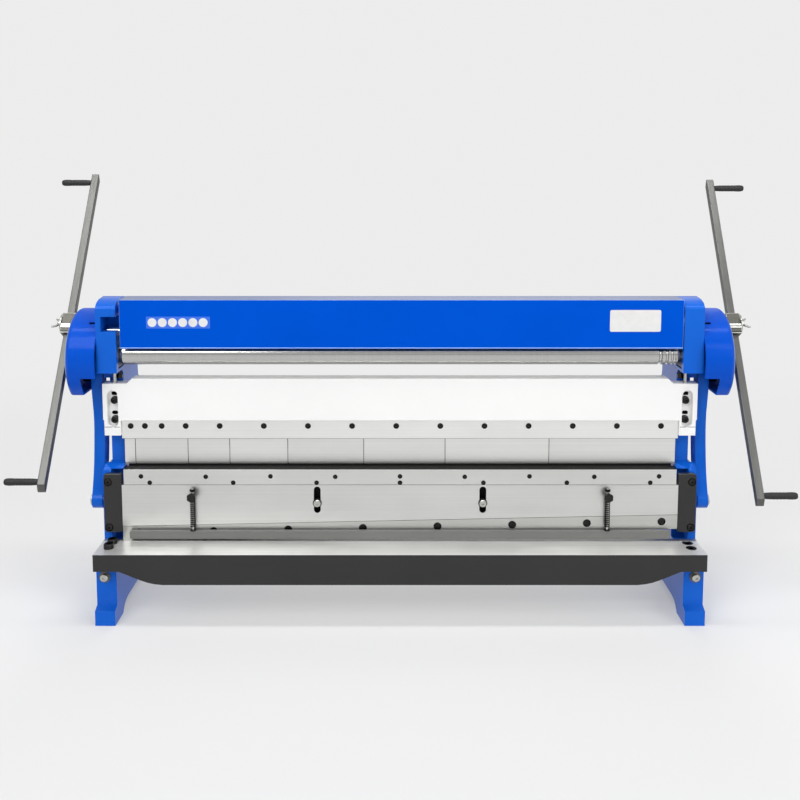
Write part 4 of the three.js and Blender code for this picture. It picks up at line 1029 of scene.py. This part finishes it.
def make_hub(side, sign, near, far, stand):
    """The clamp on the crank shaft: a dull cast block, a bright bead across it and an end flange."""
    along = X * sign
    shape = side_block(sign, (near, -HUB.half, HUB.low), (far - HUB.stop, HUB.half, HUB.high))
    shape = ease(shape, HUB.edge, 3)
    bead = rounded(rod(BEAD.radius, near + BEAD.start, far - BEAD.stop), BEAD.edge)
    bead = turned(bmesh.new(), bead, (0, 0, BEAD.z), along, 96)
    wide, reach = far + HUB.past, BEAD.reach
    for low, high in ((BEAD.half, reach), (-reach, -BEAD.half)):
        bead = combined(bead, block((-wide, -reach, BEAD.z + low), (wide, reach, BEAD.z + high)))
    shape = combined(shape, bead, "UNION")
    flange = rounded(rod(FLANGE.radius, far - FLANGE.stop, far), FLANGE.edge)
    shape = combined(shape, turned(bmesh.new(), flange, (0, 0, FLANGE.z), along, 72), "UNION")
    start = (near + BAR_SLOT.start, -BAR_SLOT.half, -BAR_SLOT.reach)
    shape = combined(shape, side_block(sign, start, (near + BAR_SLOT.end, BAR_SLOT.half, BAR_SLOT.reach)))
    bore = rod(SHAFT_BORE.radius, near + SHAFT_BORE.start, near + SHAFT_BORE.end)
    shape = combined(shape, turned(bmesh.new(), bore, (0, 0, 0), along, 48))
    tap = rod(TAP.radius, near + TAP.start, wide)
    shape = combined(shape, turned(bmesh.new(), tap, (0, 0, 0), along, 32))
    start = (near + SPLIT.start, SPLIT.front, HUB.low + SPLIT.low)
    shape = combined(shape, side_block(sign, start, (far - SPLIT.stop, SPLIT.back, HUB.low + SPLIT.high)))
    shape.normal_update()
    for face in shape.faces:
        # Painted highlight: the round edges and the front of the bead get bright plated steel, and the flat
        # faces dull steel
        flat = max(abs(n) for n in face.normal) > HUB.flat
        on_bead = abs(face.calc_center_median().z - BEAD.z) < BEAD.shows and face.normal.y < -LOOKS
        face.material_index = 1 if on_bead or not flat else 0
    in_place_of(f"crank_hub_{side}", moved(shape, stand), HUB_STEEL, 30, others=[PLATED])

    screw = hex_head(bmesh.new(), (sign * far, 0, STOP_SCREW.z), along, *STOP_SCREW.head)
    piece(f"hub_stop_screw_{side}", moved(screw, stand), PLATED, f"crank_{side}", "plain_steel")


# A grip's profile: its foot from the near end, five shallow ribs, and its round tip from the far end
GRIP_FOOT = ((0.4, 0), (0, 4.3), (0, 6.4), (6, 7.2), (14, 7.6))
GRIP_RIB = ((0, 7.8), (1.2, 7.2), (2.4, 7.9))
GRIP_RIBS = Sizes(count=5, first=18, pitch=8)
GRIP_TIP = ((12, 8.3), (5, 7.8), (1, 6), (0, 3.6), (0, 0))


def make_grip(node, sign):
    low, high = span(node)
    near, far = sorted((abs(low.x), abs(high.x)))
    profile = [(near + a, r) for a, r in GRIP_FOOT]
    for i in range(GRIP_RIBS.count):
        along = near + GRIP_RIBS.first + i * GRIP_RIBS.pitch
        profile += [(along + a, r) for a, r in GRIP_RIB]
    profile += [(far - a, r) for a, r in GRIP_TIP]
    in_place_of(node, turned(bmesh.new(), profile, middle_of(low, high), X * sign, 48), GRIP, 50)


# The profile of the wing screw's shank and the outline of one wing, both out from just off the hub's end
SHANK = ((-9, 0), (-9, 5), (2, 5), (5, 6.4), (11, 5.4), (13, 0))
WING = ((5, 1), (9, 7), (14, 12.5), (20, 16.5), (22, 18.5), (20.5, 20), (17, 19.5), (9, 14.5), (4, 8), (2, 3))
WING_GAP, WING_HALF, WING_EDGE = 0.3, 2, 1.5
WING_TURN = Matrix.Rotation(math.radians(-38), 4, "X")


def make_wing_screw(node, sign, hub_end, stand):
    """A forged thumb screw: a short shank and two thin wings that lean outwards."""
    start = hub_end + WING_GAP
    shape = turned(bmesh.new(), [(start + a, r) for a, r in SHANK], (0, 0, 0), X * sign, 32)
    for way in (-1, 1):
        outline = [(sign * (start + a), way * b) for a, b in WING]
        wing = ease(slab(outline, (X, Z, Y), -WING_HALF, WING_HALF), WING_EDGE, 3, 40)
        merge(shape, moved(wing, WING_TURN))
    in_place_of(node, moved(shape, stand), PLATED, 40)


# The slip rolls

ROLL = Sizes(radius=25.5, half=655, bearing=683.3, seat=12, slack=0.1, groove_steps=8)
# Each roll with its journal's radius
ROLLS = (("upper_roll", 14), ("lower_roll", 14), ("rear_roll", 11))
# The wire grooves at the right end of two rolls: how far each lies from it, and its radius
GROOVES = ((43, 4.2), (28, 3.6), (16, 2.8), (7, 2.2))


def make_rolls():
    radius, half = ROLL.radius, ROLL.half
    for name, journal in ROLLS:
        low, high = span(name)
        start, stop = low.x, high.x
        profile = [(start, 0), (start, journal - 1), (start + 1, journal), (-half, journal)]
        profile += [(-half, radius - 3), (-half + 1, radius - 1), (-half + 3, radius)]
        for inset, groove in GROOVES if name != "upper_roll" else ():
            for i in range(ROLL.groove_steps + 1):
                turn = math.pi * i / ROLL.groove_steps
                profile.append((half - inset - groove * math.cos(turn), radius - groove * math.sin(turn)))
        profile += [(half - 3, radius), (half - 1, radius - 1), (half, radius - 3), (half, journal)]
        step = min(stop, ROLL.bearing)
        seat = (ROLL.seat if name != "rear_roll" else journal) - ROLL.slack
        profile += [(step, journal), (step, seat), (stop, seat), (stop, 0)]
        in_place_of(name, turned(bmesh.new(), profile, middle_of(low, high), X, 128), TURNED, 24)


def make_roll_fittings():
    for name in ("upper_roll_gear", "lower_roll_gear", "roll_drive_gear"):
        dressed(name, BLACK, 0.3, 1, 20)
    for side, _ in SIDES:
        for name in ("lower_bearing_block", "rear_bearing_block"):
            dressed(f"{name}_{side}", SCREW, 0.8, 2, 60)
        for name in ("lower_adjusting_screw", "rear_adjusting_screw"):
            dressed(f"{name}_{side}", SCREW, 0.5, 2, 20)


# The floor and the light, in metres and watts

PALE = {"Color": linear("#F2F2F2"), "Strength": 0.95}
FLOOR_REACH = 30
# The floor turns into the room from the first distance to the second
FADE = {"From Min": 0.9, "From Max": 3.2, "To Min": 0.3, "To Max": 1.0}
LAMPS = (
    ("key", (-2.2, -4.2, 4.2), (2.6, 2.6), 128),
    ("fill", (3.4, -3.6, 2.4), (2.6, 2.6), 72),
    ("strip", (0, -0.6, 2.6), (3.4, 0.3), 28),
    ("back", (0.5, 4.0, 3.6), (2.6, 2.6), 70),
)
LIT_POINT = Vector((0, 0, 0.5))


def make_floor():
    """A pale floor. It shows light and shadow near the machine, and turns into the room further off."""
    floor = bpy.data.meshes.new("floor")
    corners = [(a * FLOOR_REACH, b * FLOOR_REACH, 0) for a, b in ((-1, -1), (1, -1), (1, 1), (-1, 1))]
    floor.from_pydata(corners, [], [(0, 1, 2, 3)])
    ground = placed("floor", floor)
    material, tree, place = begin("pale_floor")
    lit = add(tree, "ShaderNodeBsdfPrincipled", {"Base Color": linear("#E4E4E4"), "Roughness": 0.9})
    seen = add(tree, "ShaderNodeEmission", PALE)
    path = add(tree, "ShaderNodeLightPath", {})
    rays = {0: path.outputs["Is Camera Ray"], 1: path.outputs["Is Glossy Ray"]}
    eyes = add(tree, "ShaderNodeMath", rays, operation="MAXIMUM")
    away = add(tree, "ShaderNodeVectorMath", {0: place}, operation="LENGTH").outputs["Value"]
    share = add(tree, "ShaderNodeMapRange", {"Value": away, **FADE}, interpolation_type="SMOOTHSTEP")
    part = add(tree, "ShaderNodeMath", {0: eyes.outputs[0], 1: share.outputs["Result"]}, operation="MULTIPLY")
    shown = add(tree, "ShaderNodeMixShader", {0: part.outputs[0], 1: lit.outputs[0], 2: seen.outputs[0]})
    add(tree, "ShaderNodeOutputMaterial", {"Surface": shown.outputs[0]})
    floor.materials.append(material)


def make_lamps():
    for name, at, size, power in LAMPS:
        lamp = bpy.data.lights.new(name, "AREA")
        lamp.shape = "RECTANGLE"
        lamp.size, lamp.size_y = size
        lamp.energy = power
        light = placed(name, lamp)
        light.location = at
        light.rotation_euler = (LIT_POINT - Vector(at)).to_track_quat("-Z", "Y").to_euler()
    bpy.context.scene.view_settings.view_transform = "Standard"


# The room that shines in the metal: grey at each height, from the horizon to straight up
ROOM = ((0, 0.5), (0.1, 0.45), (0.2, 0.95), (0.34, 0.4), (0.52, 0.9), (0.7, 0.55), (0.86, 1), (1, 0.7))
ROOM_STRENGTH, ROOM_LIGHT = 0.95, 0.56


def make_world():
    """Soft even light on everything. The metal reflects a room of pale and dark bands."""
    world = bpy.data.worlds.new("studio")
    world.use_nodes = True
    tree = world.node_tree
    tree.nodes.clear()
    way = add(tree, "ShaderNodeTexCoord", {}).outputs["Generated"]
    height = add(tree, "ShaderNodeSeparateXYZ", {"Vector": way}).outputs["Z"]
    bands = add(tree, "ShaderNodeValToRGB", {"Fac": height})
    bands.color_ramp.interpolation = "EASE"
    stops = bands.color_ramp.elements
    for i, (place, grey) in enumerate(ROOM):
        stop = stops[i] if i < 2 else stops.new(place)
        stop.position = place
        stop.color = (grey, grey, grey, 1)
    path = add(tree, "ShaderNodeLightPath", {})
    shown = add(tree, "ShaderNodeBackground", {"Color": linear("#F0F0F0"), "Strength": ROOM_LIGHT})
    room = {"Color": bands.outputs["Color"], "Strength": ROOM_STRENGTH}
    for ray, inputs in (("Is Glossy Ray", room), ("Is Camera Ray", PALE)):
        seen = add(tree, "ShaderNodeBackground", inputs)
        shaders = {0: path.outputs[ray], 1: shown.outputs[0], 2: seen.outputs[0]}
        shown = add(tree, "ShaderNodeMixShader", shaders)
    add(tree, "ShaderNodeOutputWorld", {"Surface": shown.outputs[0]})
    bpy.context.scene.world = world


make_camera()
make_frames()
make_guide_plates()
make_table()
make_gear_covers()
make_top_cover()
make_ram()
make_upper_blade()
make_v_die()
make_hold_down()
make_beam()
make_clamp_bar()
make_fingers()
make_arms()
make_eccentric()
make_cranks()
make_rolls()
make_roll_fittings()
make_floor()
make_world()
make_lamps()
